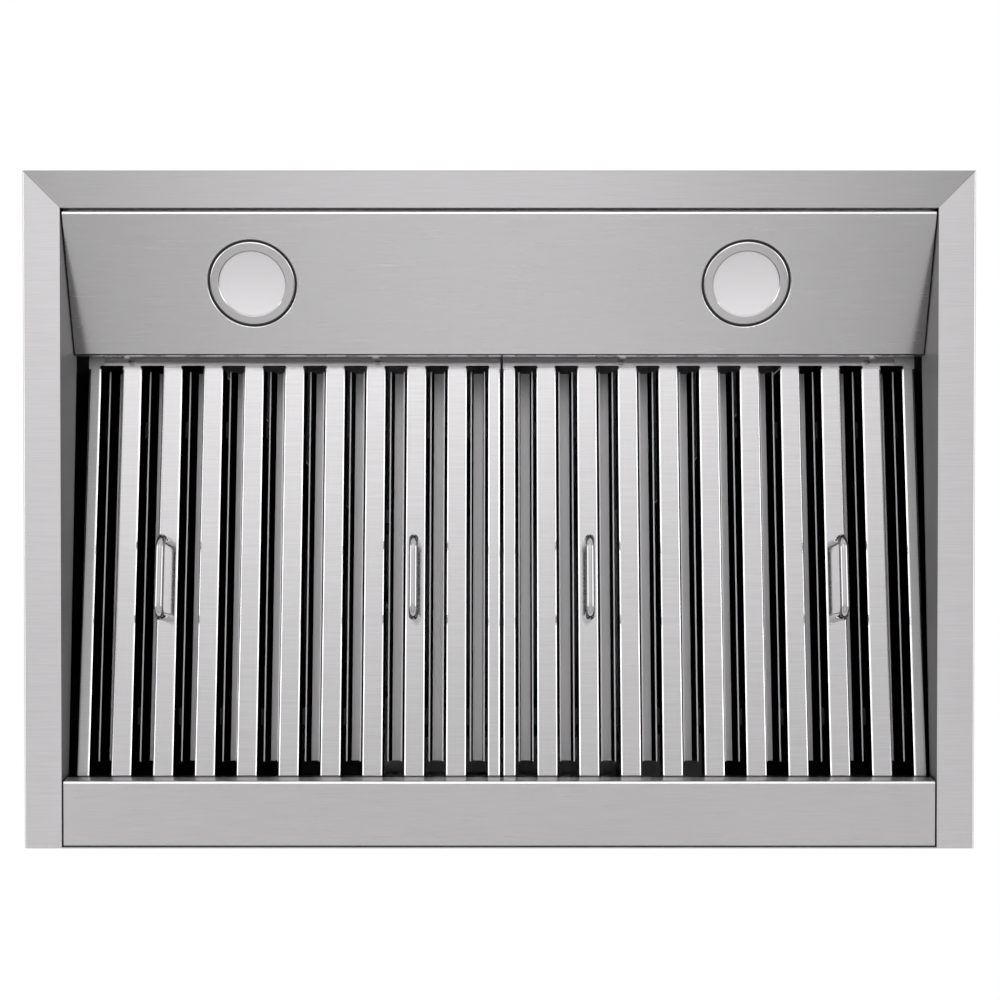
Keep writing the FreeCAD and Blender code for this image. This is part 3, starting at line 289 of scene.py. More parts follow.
def masked_tone(tree, mask, colour, other):
    """A colour that gives way to another one under a mask."""
    made = add_node(tree, "ShaderNodeMix", data_type="RGBA")
    tree.links.new(mask, made.inputs["Factor"])
    tree.links.new(colour, made.inputs["A"])
    tree.links.new(other, made.inputs["B"])
    return made.outputs["Result"]


def facing_parts(group):
    """The surface's normal in its three parts."""
    facing = add_node(group, "ShaderNodeSeparateXYZ")
    normal = add_node(group, "ShaderNodeNewGeometry").outputs["Normal"]
    group.links.new(normal, facing.inputs["Vector"])
    return facing.outputs


def place_parts(group):
    """The surface's place in the frame in its three parts."""
    place = add_node(group, "ShaderNodeSeparateXYZ")
    group.links.new(add_node(group, "ShaderNodeTexCoord").outputs["Object"], place.inputs["Vector"])
    return place.outputs


def brushed_group():
    """Brushing streaks along X on most faces and along Y on faces that look sideways."""
    group, given, out = start_group("Brushed grain")
    socket(group, "Colour", "Color", "INPUT", (0.6, 0.6, 0.6, 1.0))
    socket(group, "Roughness", "Float", "INPUT", 0.3)
    socket(group, "Streak", "Float", "INPUT", 0.1)
    socket(group, "Colour", "Color", "OUTPUT")
    socket(group, "Roughness", "Float", "OUTPUT")
    socket(group, "Height", "Float", "OUTPUT")
    socket(group, "Grain", "Vector", "OUTPUT")
    place = add_node(group, "ShaderNodeTexCoord").outputs["Object"]
    sideways = math_node(group, "ABSOLUTE", facing_parts(group)["X"], 0.0)
    sideways = math_node(group, "GREATER_THAN", sideways, SIDEWAYS)
    lanes = add_node(group, "ShaderNodeMix", data_type="VECTOR")
    group.links.new(sideways, lanes.inputs["Factor"])
    group.links.new(stretched(group, place, (ALONG_GRAIN, LANES, LANES)), lanes.inputs[4])
    group.links.new(stretched(group, place, (LANES, ALONG_GRAIN, LANES)), lanes.inputs[5])
    grain = add_node(group, "ShaderNodeMix", data_type="VECTOR")
    grain.inputs[4].default_value = (1.0, 0.0, 0.0)
    grain.inputs[5].default_value = (0.0, 1.0, 0.0)
    group.links.new(sideways, grain.inputs["Factor"])
    group.links.new(grain.outputs[1], out.inputs["Grain"])
    fine = noise(group, lanes.outputs[1], 1.0, 2.0, 0.6)
    broad = noise(group, stretched(group, lanes.outputs[1], BROAD_STRETCH), 1.0, 1.0)
    cloud = noise(group, place, CLOUD_SCALE, 2.0)
    fine = math_node(group, "MULTIPLY", fine, FINE_SHARE)
    broad = math_node(group, "MULTIPLY", broad, BROAD_SHARE)
    streak = math_node(group, "ADD", fine, broad)
    swing = math_node(group, "SUBTRACT", streak, 0.5)
    swing = math_node(group, "MULTIPLY", swing, given.outputs["Streak"])
    drift = math_node(group, "MULTIPLY", math_node(group, "SUBTRACT", cloud, 0.5), CLOUD_SWING)
    tone = math_node(group, "ADD", math_node(group, "ADD", swing, drift), 1.0)
    group.links.new(scaled_tone(group, given.outputs["Colour"], tone), out.inputs["Colour"])
    rough_swing = math_node(group, "MULTIPLY", swing, STREAK_ROUGHNESS)
    rough = math_node(group, "ADD", given.outputs["Roughness"], rough_swing)
    group.links.new(rough, out.inputs["Roughness"])
    group.links.new(streak, out.inputs["Height"])
    return group


def sheet_painted_light_group():
    """Painted light and shade on a sheet: faces that look down are scaled by a share that changes towards the
    ends, faces that look inwards take painted shade, and faces that look back at the wall take a painted
    highlight low down and painted shade higher up.
    """
    group, given, out = start_group("Sheet painted light and shade")
    socket(group, "Colour", "Color", "INPUT", (0.6, 0.6, 0.6, 1.0))
    socket(group, "Ends", "Float", "INPUT", 0.0)
    socket(group, "Under", "Float", "INPUT", 1.0)
    socket(group, "Inside", "Float", "INPUT", 1.0)
    socket(group, "Behind", "Float", "INPUT", 1.0)
    socket(group, "Colour", "Color", "OUTPUT")
    place = place_parts(group)
    facing = facing_parts(group)
    # Painted light and shade on faces that look down, by the Under share, changing towards the ends by the
    # Ends share
    across = math_node(group, "DIVIDE", place["X"], HALF_WIDTH)
    ends = math_node(group, "MULTIPLY", math_node(group, "POWER", across, 2.0), given.outputs["Ends"])
    below = math_node(group, "MULTIPLY", math_node(group, "SUBTRACT", 1.0, ends), given.outputs["Under"])
    looks_down = math_node(group, "LESS_THAN", facing["Z"], LOOKS_DOWN)
    below = math_node(group, "MULTIPLY", looks_down, math_node(group, "SUBTRACT", below, 1.0))
    # Painted shade on faces that look inwards
    inward = math_node(group, "MULTIPLY", facing["X"], math_node(group, "SIGN", across, 0.0))
    looks_in = math_node(group, "LESS_THAN", inward, LOOKS_IN)
    inside = math_node(group, "SUBTRACT", given.outputs["Inside"], 1.0)
    inside = math_node(group, "MULTIPLY", looks_in, inside)
    # Painted highlight low down and painted shade higher up on faces that look back at the wall
    looks_back = math_node(group, "GREATER_THAN", facing["Y"], LOOKS_AT_WALL)
    rise = add_node(group, "ShaderNodeMapRange")
    rise.inputs["From Min"].default_value = RETURN_BRIGHT
    rise.inputs["From Max"].default_value = RETURN_DARK
    rise.inputs["To Min"].default_value = 1.0 - RETURN_GLEAM
    group.links.new(place["Z"], rise.inputs["Value"])
    behind = math_node(group, "SUBTRACT", given.outputs["Behind"], 1.0)
    behind = math_node(group, "MULTIPLY", looks_back, behind)
    behind = math_node(group, "MULTIPLY", behind, rise.outputs["Result"])
    tone = math_node(group, "ADD", below, 1.0)
    for share in (inside, behind):
        tone = math_node(group, "MULTIPLY", tone, math_node(group, "ADD", share, 1.0))
    group.links.new(scaled_tone(group, given.outputs["Colour"], tone), out.inputs["Colour"])
    return group


def bent_painted_light_group():
    """Bars of bent sheet: flats keep their colour, while bends and upright walls take colours that paint
    light and shade on them.
    """
    group, given, out = start_group("Bent bar painted light and shade")
    socket(group, "Colour", "Color", "INPUT", (0.6, 0.6, 0.6, 1.0))
    socket(group, "Bend", "Color", "INPUT", (0.9, 0.9, 0.9, 1.0))
    socket(group, "Wall", "Color", "INPUT", (0.05, 0.05, 0.05, 1.0))
    socket(group, "Colour", "Color", "OUTPUT")
    side = math_node(group, "ABSOLUTE", facing_parts(group)["X"], 0.0)
    colour = given.outputs["Colour"]
    # Painted light and shade: bends and upright walls take their own colours
    for limit, name in ((BEND_FACING, "Bend"), (WALL_FACING, "Wall")):
        mask = math_node(group, "GREATER_THAN", side, limit)
        colour = masked_tone(group, mask, colour, given.outputs[name])
    group.links.new(colour, out.inputs["Colour"])
    return group


def rail_painted_shade_group():
    """Outer rails of the filters: rougher than the bars between them, with painted shade on their flats and
    upright walls.
    """
    group, given, out = start_group("Filter rail painted shade")
    socket(group, "Colour", "Color", "INPUT", (0.6, 0.6, 0.6, 1.0))
    socket(group, "Start", "Float", "INPUT", 0.3)
    socket(group, "Flat", "Color", "INPUT", (0.4, 0.4, 0.4, 1.0))
    socket(group, "Wall", "Color", "INPUT", (0.1, 0.1, 0.1, 1.0))
    socket(group, "Colour", "Color", "OUTPUT")
    socket(group, "Edge", "Float", "OUTPUT")
    across = math_node(group, "ABSOLUTE", place_parts(group)["X"], 0.0)
    rail = math_node(group, "GREATER_THAN", across, given.outputs["Start"])
    side = math_node(group, "ABSOLUTE", facing_parts(group)["X"], 0.0)
    # Painted shade on the rails' flats and upright walls
    flat = math_node(group, "MULTIPLY", rail, math_node(group, "LESS_THAN", side, BEND_FACING))
    wall = math_node(group, "MULTIPLY", rail, math_node(group, "GREATER_THAN", side, WALL_FACING))
    colour = masked_tone(group, flat, given.outputs["Colour"], given.outputs["Flat"])
    colour = masked_tone(group, wall, colour, given.outputs["Wall"])
    group.links.new(colour, out.inputs["Colour"])
    group.links.new(flat, out.inputs["Edge"])
    return group


def edge_painted_light_group():
    """Rounded edges of a sheet: polished, with a painted highlight where they look forwards and painted shade
    where they look towards the wall.
    """
    group, given, out = start_group("Edge painted highlight and shade")
    socket(group, "Colour", "Color", "INPUT", (0.6, 0.6, 0.6, 1.0))
    socket(group, "Face", "Vector", "INPUT", (0.0, 0.0, -1.0))
    socket(group, "Forward", "Color", "INPUT", (0.96, 0.96, 0.96, 1.0))
    socket(group, "Backward", "Color", "INPUT", (0.15, 0.15, 0.15, 1.0))
    socket(group, "Colour", "Color", "OUTPUT")
    socket(group, "Edge", "Float", "OUTPUT")
    normal = add_node(group, "ShaderNodeNewGeometry").outputs["Normal"]
    along = add_node(group, "ShaderNodeVectorMath", operation="DOT_PRODUCT")
    group.links.new(normal, along.inputs[0])
    group.links.new(given.outputs["Face"], along.inputs[1])
    turned_off = math_node(group, "LESS_THAN", along.outputs["Value"], EDGE_START)
    not_side = math_node(group, "GREATER_THAN", along.outputs["Value"], EDGE_END)
    edge = math_node(group, "MULTIPLY", turned_off, not_side)
    # Painted highlight where an edge looks forwards and painted shade where it looks towards the wall
    look = add_node(group, "ShaderNodeMapRange")
    look.inputs["From Min"].default_value = LOOKS_BACK
    look.inputs["From Max"].default_value = LOOKS_FORWARD
    group.links.new(facing_parts(group)["Y"], look.inputs["Value"])
    lit = masked_tone(group, look.outputs["Result"], given.outputs["Backward"], given.outputs["Forward"])
    group.links.new(masked_tone(group, edge, given.outputs["Colour"], lit), out.inputs["Colour"])
    group.links.new(edge, out.inputs["Edge"])
    return group


def lens_painted_shade_group():
    """Frosted lens with painted shade, darkest at its front edge and gone at its rear edge."""
    group, given, out = start_group("Lens painted shade")
    socket(group, "Colour", "Color", "INPUT", (0.9, 0.9, 0.9, 1.0))
    socket(group, "Front", "Float", "INPUT", 0.0)
    socket(group, "Rear", "Float", "INPUT", 1.0)
    socket(group, "Colour", "Color", "OUTPUT")
    # Painted shade, darkest at the lens's front edge
    lens_shade_share = add_node(group, "ShaderNodeMapRange")
    group.links.new(place_parts(group)["Y"], lens_shade_share.inputs["Value"])
    group.links.new(given.outputs["Front"], lens_shade_share.inputs["From Min"])
    group.links.new(given.outputs["Rear"], lens_shade_share.inputs["From Max"])
    lens_shade_share.inputs["To Min"].default_value = LENS_FRONT_SHADE
    colour = scaled_tone(group, given.outputs["Colour"], lens_shade_share.outputs["Result"])
    group.links.new(colour, out.inputs["Colour"])
    return group


def speckle_group():
    """Fine speckle and a broad cloud for cast, coated and moulded surfaces."""
    group, given, out = start_group("Speckle")
    socket(group, "Colour", "Color", "INPUT", (0.5, 0.5, 0.5, 1.0))
    socket(group, "Roughness", "Float", "INPUT", 0.5)
    socket(group, "Size", "Float", "INPUT", 600.0)
    socket(group, "Swing", "Float", "INPUT", 0.15)
    socket(group, "Colour", "Color", "OUTPUT")
    socket(group, "Roughness", "Float", "OUTPUT")
    socket(group, "Height", "Float", "OUTPUT")
    place = add_node(group, "ShaderNodeTexCoord").outputs["Object"]
    fine = add_node(group, "ShaderNodeTexNoise")
    fine.inputs["Detail"].default_value = 3.0
    group.links.new(place, fine.inputs["Vector"])
    group.links.new(given.outputs["Size"], fine.inputs["Scale"])
    cloud = noise(group, place, SPECKLE_CLOUD_SCALE, 3.0)
    cloud = math_node(group, "MULTIPLY", cloud, SPECKLE_CLOUD_SHARE)
    both = math_node(group, "MULTIPLY", fine.outputs["Fac"], SPECKLE_SHARE)
    both = math_node(group, "ADD", both, cloud)
    swing = math_node(group, "MULTIPLY", math_node(group, "SUBTRACT", both, 0.5), given.outputs["Swing"])
    tone = math_node(group, "ADD", swing, 1.0)
    group.links.new(scaled_tone(group, given.outputs["Colour"], tone), out.inputs["Colour"])
    group.links.new(math_node(group, "ADD", given.outputs["Roughness"], swing), out.inputs["Roughness"])
    group.links.new(fine.outputs["Fac"], out.inputs["Height"])
    return group


def line_tone_group():
    """Shadow line along the top of a wall that looks forwards."""
    group, given, out = start_group("Shadow line tone")
    socket(group, "Colour", "Color", "INPUT", (0.6, 0.6, 0.6, 1.0))
    socket(group, "Start", "Float", "INPUT", 0.0)
    socket(group, "Line", "Color", "INPUT", (0.02, 0.02, 0.02, 1.0))
    socket(group, "Colour", "Color", "OUTPUT")
    high = math_node(group, "GREATER_THAN", place_parts(group)["Z"], given.outputs["Start"])
    ahead = math_node(group, "LESS_THAN", facing_parts(group)["Y"], LINE_FACING)
    mask = math_node(group, "MULTIPLY", high, ahead)
    colour = masked_tone(group, mask, given.outputs["Colour"], given.outputs["Line"])
    group.links.new(colour, out.inputs["Colour"])
    return group


def finish(name, group, colour, roughness, bump, metallic=1.0, tones=(), grazing=None, grain=0.0,
           edge_roughness=EDGE_ROUGHNESS, **values):
    """A material whose colour, roughness and bump come from shared groups."""
    made = bpy.data.materials.new(name)
    made.use_nodes = True
    tree = made.node_tree
    shader = tree.nodes["Principled BSDF"]
    shader.inputs["Metallic"].default_value = metallic
    effect = add_node(tree, "ShaderNodeGroup", node_tree=group)
    effect.inputs["Colour"].default_value = (*colour, 1.0)
    effect.inputs["Roughness"].default_value = roughness
    shade = None
    for tone_group, settings in tones:
        base = add_node(tree, "ShaderNodeGroup", node_tree=tone_group)
        base.inputs["Colour"].default_value = (*colour, 1.0)
        for key, value in settings.items():
            base.inputs[key].default_value = value
        if shade:
            tree.links.new(shade, base.inputs["Colour"])
        shade = base.outputs["Colour"]
        if "Edge" in base.outputs:
            polish = add_node(tree, "ShaderNodeMapRange")
            polish.inputs["To Min"].default_value = roughness
            polish.inputs["To Max"].default_value = edge_roughness
            tree.links.new(base.outputs["Edge"], polish.inputs["Value"])
            tree.links.new(polish.outputs["Result"], effect.inputs["Roughness"])
    if shade:
        tree.links.new(shade, effect.inputs["Colour"])
    if grazing:
        shader.inputs["Specular Tint"].default_value = (*grazing, 1.0)
    if grain:
        shader.inputs["Anisotropic"].default_value = grain
        shader.inputs["Anisotropic Rotation"].default_value = ACROSS_GRAIN
        tree.links.new(effect.outputs["Grain"], shader.inputs["Tangent"])
    for key, value in values.items():
        effect.inputs[key.capitalize()].default_value = value
    tree.links.new(effect.outputs["Colour"], shader.inputs["Base Color"])
    tree.links.new(effect.outputs["Roughness"], shader.inputs["Roughness"])
    raised = add_node(tree, "ShaderNodeBump")
    raised.inputs["Strength"].default_value = bump
    raised.inputs["Distance"].default_value = BUMP_HEIGHT
    tree.links.new(effect.outputs["Height"], raised.inputs["Height"])
    tree.links.new(raised.outputs["Normal"], shader.inputs["Normal"])
    made.diffuse_color = (*colour, 1.0)
    return made


def panel_normal():
    """Unit vector out of the lamp panel's face, down and towards the wall."""
    slope = bpy.context.scene.hood_sizes.panel_slope
    return Vector((0.0, math.sin(slope), -math.cos(slope)))


def grey(level):
    """A neutral colour with full alpha."""
    return (level, level, level, 1.0)


def make_finishes():
    """All materials by finish name."""
    tones = bpy.context.scene.hood_finishes
    brushed = brushed_group()
    speckle = speckle_group()
    sheet = sheet_painted_light_group()
    bent = bent_painted_light_group()
    edge = edge_painted_light_group()
    # Painted light and shade on the sheet: the sides' undersides lit up and their inward faces shaded, the
    # front's and the lamp panel's undersides shaded towards their ends, and the panel's return lit low down
    # and shaded higher up
    side_painted_light = (sheet, {"Inside": 0.47, "Under": 1.29})
    front_painted_light = (sheet, {"Ends": 0.22, "Under": 0.965})
    panel_painted_light = (sheet, {"Ends": 0.2, "Behind": 0.3})
    # Painted highlights where rounded edges look forwards and painted shade where they look towards the wall,
    # on the lamp panel, the lamp rings and the rolled hole lips
    panel_edge_painted_light = (edge, {"Face": panel_normal()})
    lip_painted_light = (edge, {"Face": panel_normal(), "Forward": grey(0.98), "Backward": grey(0.1)})
    # Painted shade across each lens, darkest at its front edge
    lens_low, lens_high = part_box("left_lamp_lens")
    lens_painted_shade = (lens_painted_shade_group(), {"Front": lens_low[1], "Rear": lens_high[1]})
    # Drip strip: a painted highlight on its rounded edges, painted shade on its underside that lightens
    # towards its ends, and a painted shadow line along the top of its wall
    strip_edge_painted_light = (edge, {"Face": (0.0, 0.0, -1.0), "Backward": grey(0.32)})
    strip_painted_light = (sheet, {"Ends": -0.25, "Under": 0.882})
    strip_line = (line_tone_group(), {"Start": LINE_START})
    # Filter faces: painted light towards the ends, painted highlights on the bars' bends, painted shade on
    # the bars' walls and on the outer rails; the webs' bends and walls take painted shade
    bar_ends_painted_light = (sheet, {"Ends": -0.14})
    bar_painted_light = (bent, {"Bend": grey(0.86), "Wall": grey(0.03)})
    rail_start = -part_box("left_filter_face")[0][0] - RAIL_WIDTH
    rail_painted_shade = (rail_painted_shade_group(), {"Start": rail_start, "Flat": grey(0.48), "Wall": grey(0.16)})
    web_painted_shade = (bent, {"Bend": grey(0.02), "Wall": grey(0.01)})
    # The black grazing tint on the filters paints shade onto slot walls seen edge on
    dark = (0.0, 0.0, 0.0)
    return {
        "stainless": finish(
            "Brushed stainless", brushed, tones.stainless, roughness=0.36, bump=0.12, grain=0.9, streak=0.3),
        "strip": finish(
            "Brushed drip strip", brushed, tones.strip, roughness=0.3, bump=0.12,
            tones=[strip_painted_light, strip_edge_painted_light, strip_line], grain=0.9, streak=0.25),
        "side": finish(
            "Brushed side sheet", brushed, tones.stainless, roughness=0.38, bump=0.12, tones=[side_painted_light],
            grain=0.9, streak=0.3),
        "front": finish(
            "Brushed front sheet", brushed, tones.stainless, roughness=0.36, bump=0.12, tones=[front_painted_light],
            grain=0.9, streak=0.3),
        "panel": finish(
            "Brushed lamp panel", brushed, tones.panel, roughness=0.25, bump=0.12,
            tones=[panel_painted_light, panel_edge_painted_light], grain=1.0, streak=0.25),
        "bars": finish(
            "Filter bars", brushed, tones.filter_steel, roughness=0.09, bump=0.2,
            tones=[bar_ends_painted_light, bar_painted_light, rail_painted_shade], grazing=dark, edge_roughness=RAIL_ROUGHNESS, streak=0.3),
        "webs": finish(
            "Filter webs", brushed, tones.filter_web_and_painted_light, roughness=0.5, bump=0.0, tones=[web_painted_shade],
            grazing=dark, streak=0.02),
        "wire": finish("Polished wire", brushed, tones.wire, roughness=0.06, bump=0.02, streak=0.05),
        "ring": finish(
            "Turned lamp ring", brushed, tones.ring, roughness=0.33, bump=0.1, tones=[panel_edge_painted_light],
            streak=0.14),
        "lip": finish(
            "Rolled hole lip", brushed, tones.panel, roughness=0.3, bump=0.05, tones=[lip_painted_light], streak=0.08),
        "lens": finish(
            "Frosted lens", speckle, tones.lens, roughness=0.4, bump=0.05, metallic=0.0, tones=[lens_painted_shade],
            size=900.0, swing=0.03),
        "lamp_housing": finish(
            "Cast lamp housing", speckle, tones.lamp_housing, roughness=0.5, bump=0.2, size=700.0, swing=0.2),
        "board": finish(
            "Circuit board lacquer", speckle, tones.board, roughness=0.35, bump=0.05, metallic=0.0,
            size=300.0, swing=0.3),
        "black": finish(
            "Black moulding", speckle, tones.black_plastic, roughness=0.45, bump=0.15, metallic=0.0,
            size=900.0, swing=0.2),
        "gasket": finish(
            "Rubber gasket", speckle, tones.gasket, roughness=0.7, bump=0.1, metallic=0.0,
            size=900.0, swing=0.2),
        "motor": finish(
            "Motor paint", speckle, tones.motor_paint, roughness=0.4, bump=0.1, metallic=0.0,
            size=500.0, swing=0.25),
        "galvanised_in_painted_shade": finish(
            "Galvanised sheet darkened as painted shade", speckle, tones.galvanised_in_painted_shade, roughness=0.45, bump=0.05, size=120.0, swing=0.35),
        "zinc": finish(
            "Zinc coated sheet", speckle, tones.zinc, roughness=0.4, bump=0.05, size=90.0, swing=0.3),
        "fastener": finish(
            "Zinc plated fastener", speckle, tones.fastener, roughness=0.3, bump=0.05,
            size=800.0, swing=0.12),
    }


finishes = {}


def dress(finish_name, *names):
    """CAD nodes take a finish in their own material slots."""
    for name in names:
        for slot in nodes[name].material_slots:
            slot.material = finishes[finish_name]


class SheetOperator(bpy.types.Operator):
    """Finishes the canopy, the chimney, the lamp panel and the drip channel"""
    bl_idname = "range_hood.sheet"
    bl_label = "Sheet metal"

    def execute(self, context):
        dress("front", "canopy_front")
        dress("side", "canopy_left_side", "canopy_right_side")
        dress("stainless", "lower_chimney", "upper_chimney")
        dress("strip", "drip_channel")
        dress("panel", "lamp_panel")
        dress("zinc", "back_panel", "top_plate", "chimney_bracket")
        dress("galvanised_in_painted_shade", "filter_front_rail")
        return {"FINISHED"}


class FilterOperator(bpy.types.Operator):
    """Finishes the baffle filters and their handles"""
    bl_idname = "range_hood.filters"
    bl_label = "Filters"

    def execute(self, context):
        for side in ("left", "right"):
            dress("bars", side + "_filter_face")
            dress("webs", side + "_filter_channels")
            dress("galvanised_in_painted_shade", side + "_filter_straps")
            dress("wire", side + "_filter_handles")
        return {"FINISHED"}


def lamp_place(side):
    """Matrix from a lamp's own axes, with z into the hood, to the frame."""
    sizes = bpy.context.scene.hood_sizes
    inward = -panel_normal()
    low, high = (Vector(corner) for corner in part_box(side + "_lamp_trim_ring"))
    middle = (low + high) / 2 - inward * (sizes.ring_step + sizes.ring_seat) / 2
    across = Vector((1.0, 0.0, 0.0))
    turn = Matrix((across, inward.cross(across), inward)).transposed().to_4x4()
    return Matrix.Translation(middle) @ turn


def turned_piece(name, outline, place, slot, surfaces):
    """A closed outline of radii and heights turned about z, smooth but for its sharp corners."""
    steps = bpy.context.scene.hood_sizes.turned_steps
    shape = bmesh.new()
    corners = [shape.verts.new((radius, 0.0, height)) for radius, height in outline]
    edges = [shape.edges.new((corners[i - 1], corners[i])) for i in range(len(corners))]
    bmesh.ops.spin(
        shape, geom=corners + edges, axis=(0.0, 0.0, 1.0), cent=(0.0, 0.0, 0.0),
        steps=steps, angle=math.tau)
    bmesh.ops.remove_doubles(shape, verts=shape.verts, dist=WELD_DISTANCE)
    bmesh.ops.dissolve_degenerate(shape, edges=shape.edges, dist=WELD_DISTANCE)
    bmesh.ops.recalc_face_normals(shape, faces=shape.faces)
    for face in shape.faces:
        face.smooth = True
        middle = face.calc_center_median()
        face.material_index = slot(math.hypot(middle.x, middle.y), middle.z)
    mesh = bpy.data.meshes.new(name)
    shape.to_mesh(mesh)
    shape.free()
    mesh.set_sharp_from_angle(angle=SHARP_CORNER)
    mesh.transform(place)
    for surface in surfaces:
        mesh.materials.append(finishes[surface])
    piece = bpy.data.objects.new(name, mesh)
    bpy.context.collection.objects.link(piece)
    return piece


def ring_outline(sizes):
    """Flat faced ring with a rounded outer edge and a shoulder behind the panel."""
    chamfer = sizes.lens_recess
    outline = [(sizes.lens_radius, chamfer), (sizes.lens_radius + chamfer, 0.0)]
    inner = sizes.ring_radius - sizes.ring_round
    for step in range(ROUND_STEPS + 1):
        turn = math.pi / 2 * step / ROUND_STEPS
        outline.append((inner + sizes.ring_round * math.sin(turn), sizes.ring_round * (1 - math.cos(turn))))
    outline += [(sizes.ring_radius, sizes.ring_step), (sizes.ring_shoulder, sizes.ring_step)]
    outline += [(sizes.ring_shoulder, sizes.ring_seat), (sizes.lens_radius, sizes.ring_seat)]
    return outline


def lens_outline(sizes):
    """Dished lens with a raised lip, a wall in the ring and a flange behind it."""
    rim = sizes.lens_radius - CLEARANCE
    dish = rim - sizes.lens_lip
    outline = []
    for step in range(DISH_STEPS + 1):
        part = step / DISH_STEPS
        hollow = sizes.lens_dish * (1 - part * part)
        outline.append((dish * part, sizes.lens_recess + sizes.lens_lip + hollow))
    outline += [(rim - sizes.lens_lip / 3, sizes.lens_recess), (rim, sizes.lens_recess)]
    outline += [(rim, sizes.ring_seat), (sizes.lens_flange, sizes.ring_seat)]
    outline += [(sizes.lens_flange, sizes.lens_back), (0.0, sizes.lens_back)]
    return outline


def lip_outline(sizes):
    """Panel's edge rolled into the lamp's hole, a hair proud of the panel's face."""
    outline = []
    for step in range(LIP_STEPS + 1):
        turn = math.pi / 2 * step / LIP_STEPS
        radius = sizes.lip_radius - sizes.lip_width * math.cos(turn)
        outline.append((radius, sizes.lip_depth - (sizes.lip_depth + LIP_PROUD) * math.sin(turn)))
    outline.append((sizes.lip_radius, 0.0))
    outline.append((sizes.lip_radius - sizes.lip_width * LIP_WALL, sizes.lip_depth))
    return outline


class LampOperator(bpy.types.Operator):
    """Turns the lamps' rings and dished lenses, and finishes the parts behind them"""
    bl_idname = "range_hood.lamps"
    bl_label = "Lamps"

    def execute(self, context):
        sizes = context.scene.hood_sizes

        def ring_slot(radius, height):
            return int(radius > sizes.ring_radius)

        def first_slot(radius, height):
            return 0

        for side in ("left", "right"):
            place = lamp_place(side)
            outline = ring_outline(sizes)
            ring = turned_piece(side + "_lamp_ring", outline, place, ring_slot, ("ring", "gasket"))
            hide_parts(side + "_lamp_trim_ring")
            lens = turned_piece(side + "_lamp_dish", lens_outline(sizes), place, first_slot, ("lens",))
            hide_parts(side + "_lamp_lens")
            lip = turned_piece(side + "_lamp_hole_lip", lip_outline(sizes), place, first_slot, ("lip",))
            for piece in (ring, lens, lip):
                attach(piece, "hood")
            dress("lamp_housing", side + "_lamp_housing")
            dress("board", side + "_lamp_led_board")
        return {"FINISHED"}


class ControlOperator(bpy.types.Operator):
    """Finishes the push buttons and the parts behind them"""
    bl_idname = "range_hood.controls"
    bl_label = "Controls"

    def execute(self, context):
        dress("stainless", *["button_%d" % (place + 1) for place in range(BUTTON_COUNT)])
        dress("board", "control_board")
        dress("black", "control_housing", "cable_gland", "led_driver")
        dress("zinc", "wiring_box_cover", "wiring_box")
        return {"FINISHED"}


class BlowerOperator(bpy.types.Operator):
    """Finishes the blower, its outlet and the dampers"""
    bl_idname = "range_hood.blower"
    bl_label = "Blower and outlet"

    def execute(self, context):
        dress("galvanised_in_painted_shade", "blower_left_plate", "blower_right_plate", "blower_scroll", "impeller")
        dress("motor", "motor", "motor_bracket")
        dress("black", "capacitor")
        dress("zinc", "outlet_collar", "front_damper_flap", "rear_damper_flap")
        dress("fastener", "motor_shaft", "damper_pin")
        return {"FINISHED"}


def islands(name):
    """Lowest and highest corner of each separate solid of a CAD node."""
    shape = bmesh.new()
    shape.from_mesh(nodes[name].data)
    bmesh.ops.remove_doubles(shape, verts=shape.verts, dist=WELD_DISTANCE)
    left = set(shape.verts)
    boxes = []
    while left:
        first = min(left, key=lambda corner: corner.co.to_tuple())
        left.discard(first)
        reached = [first]
        for corner in reached:
            for edge in corner.link_edges:
                other = edge.other_vert(corner)
                if other in left:
                    left.discard(other)
                    reached.append(other)
        places = [corner.co for corner in reached]
        low = Vector([min(place[axis] for place in places) for axis in range(3)])
        high = Vector([max(place[axis] for place in places) for axis in range(3)])
        boxes.append((low, high))
    shape.free()
    return boxes


def screw_seats(name, axis):
    """Seat and direction of each head of a node of like screws; no axis means outwards along x."""
    height = bpy.context.scene.hood_sizes.screw_head_height
    seats = []
    for low, high in islands(name):
        middle = (low + high) / 2
        way = Vector(axis) if axis else Vector((math.copysign(1.0, middle.x), 0.0, 0.0))
        reach = (high - low).dot(Vector([abs(part) for part in way])) / 2
        seats.append((middle + way * (reach - height), way))
    return seats


def feed(tree, node, **sources):
    """Sets a node's inputs by name from sockets or values."""
    for key, source in sources.items():
        target = node.inputs[key.replace("_", " ")]
        if isinstance(source, bpy.types.NodeSocket):
            tree.links.new(source, target)
        else:
            target.default_value = source
    return node


def box_at(tree, size, place):
    """A block of that size moved to a place; both are vector sockets."""
    block = feed(tree, add_node(tree, "GeometryNodeMeshCube"), Size=size)
    moved = add_node(tree, "GeometryNodeTransform")
    return feed(tree, moved, Geometry=block.outputs["Mesh"], Translation=place)


def vector_of(tree, first, second, third):
    """A vector from three sockets or numbers."""
    made = add_node(tree, "ShaderNodeCombineXYZ")
    feed(tree, made, X=first, Y=second, Z=third)
    return made.outputs["Vector"]


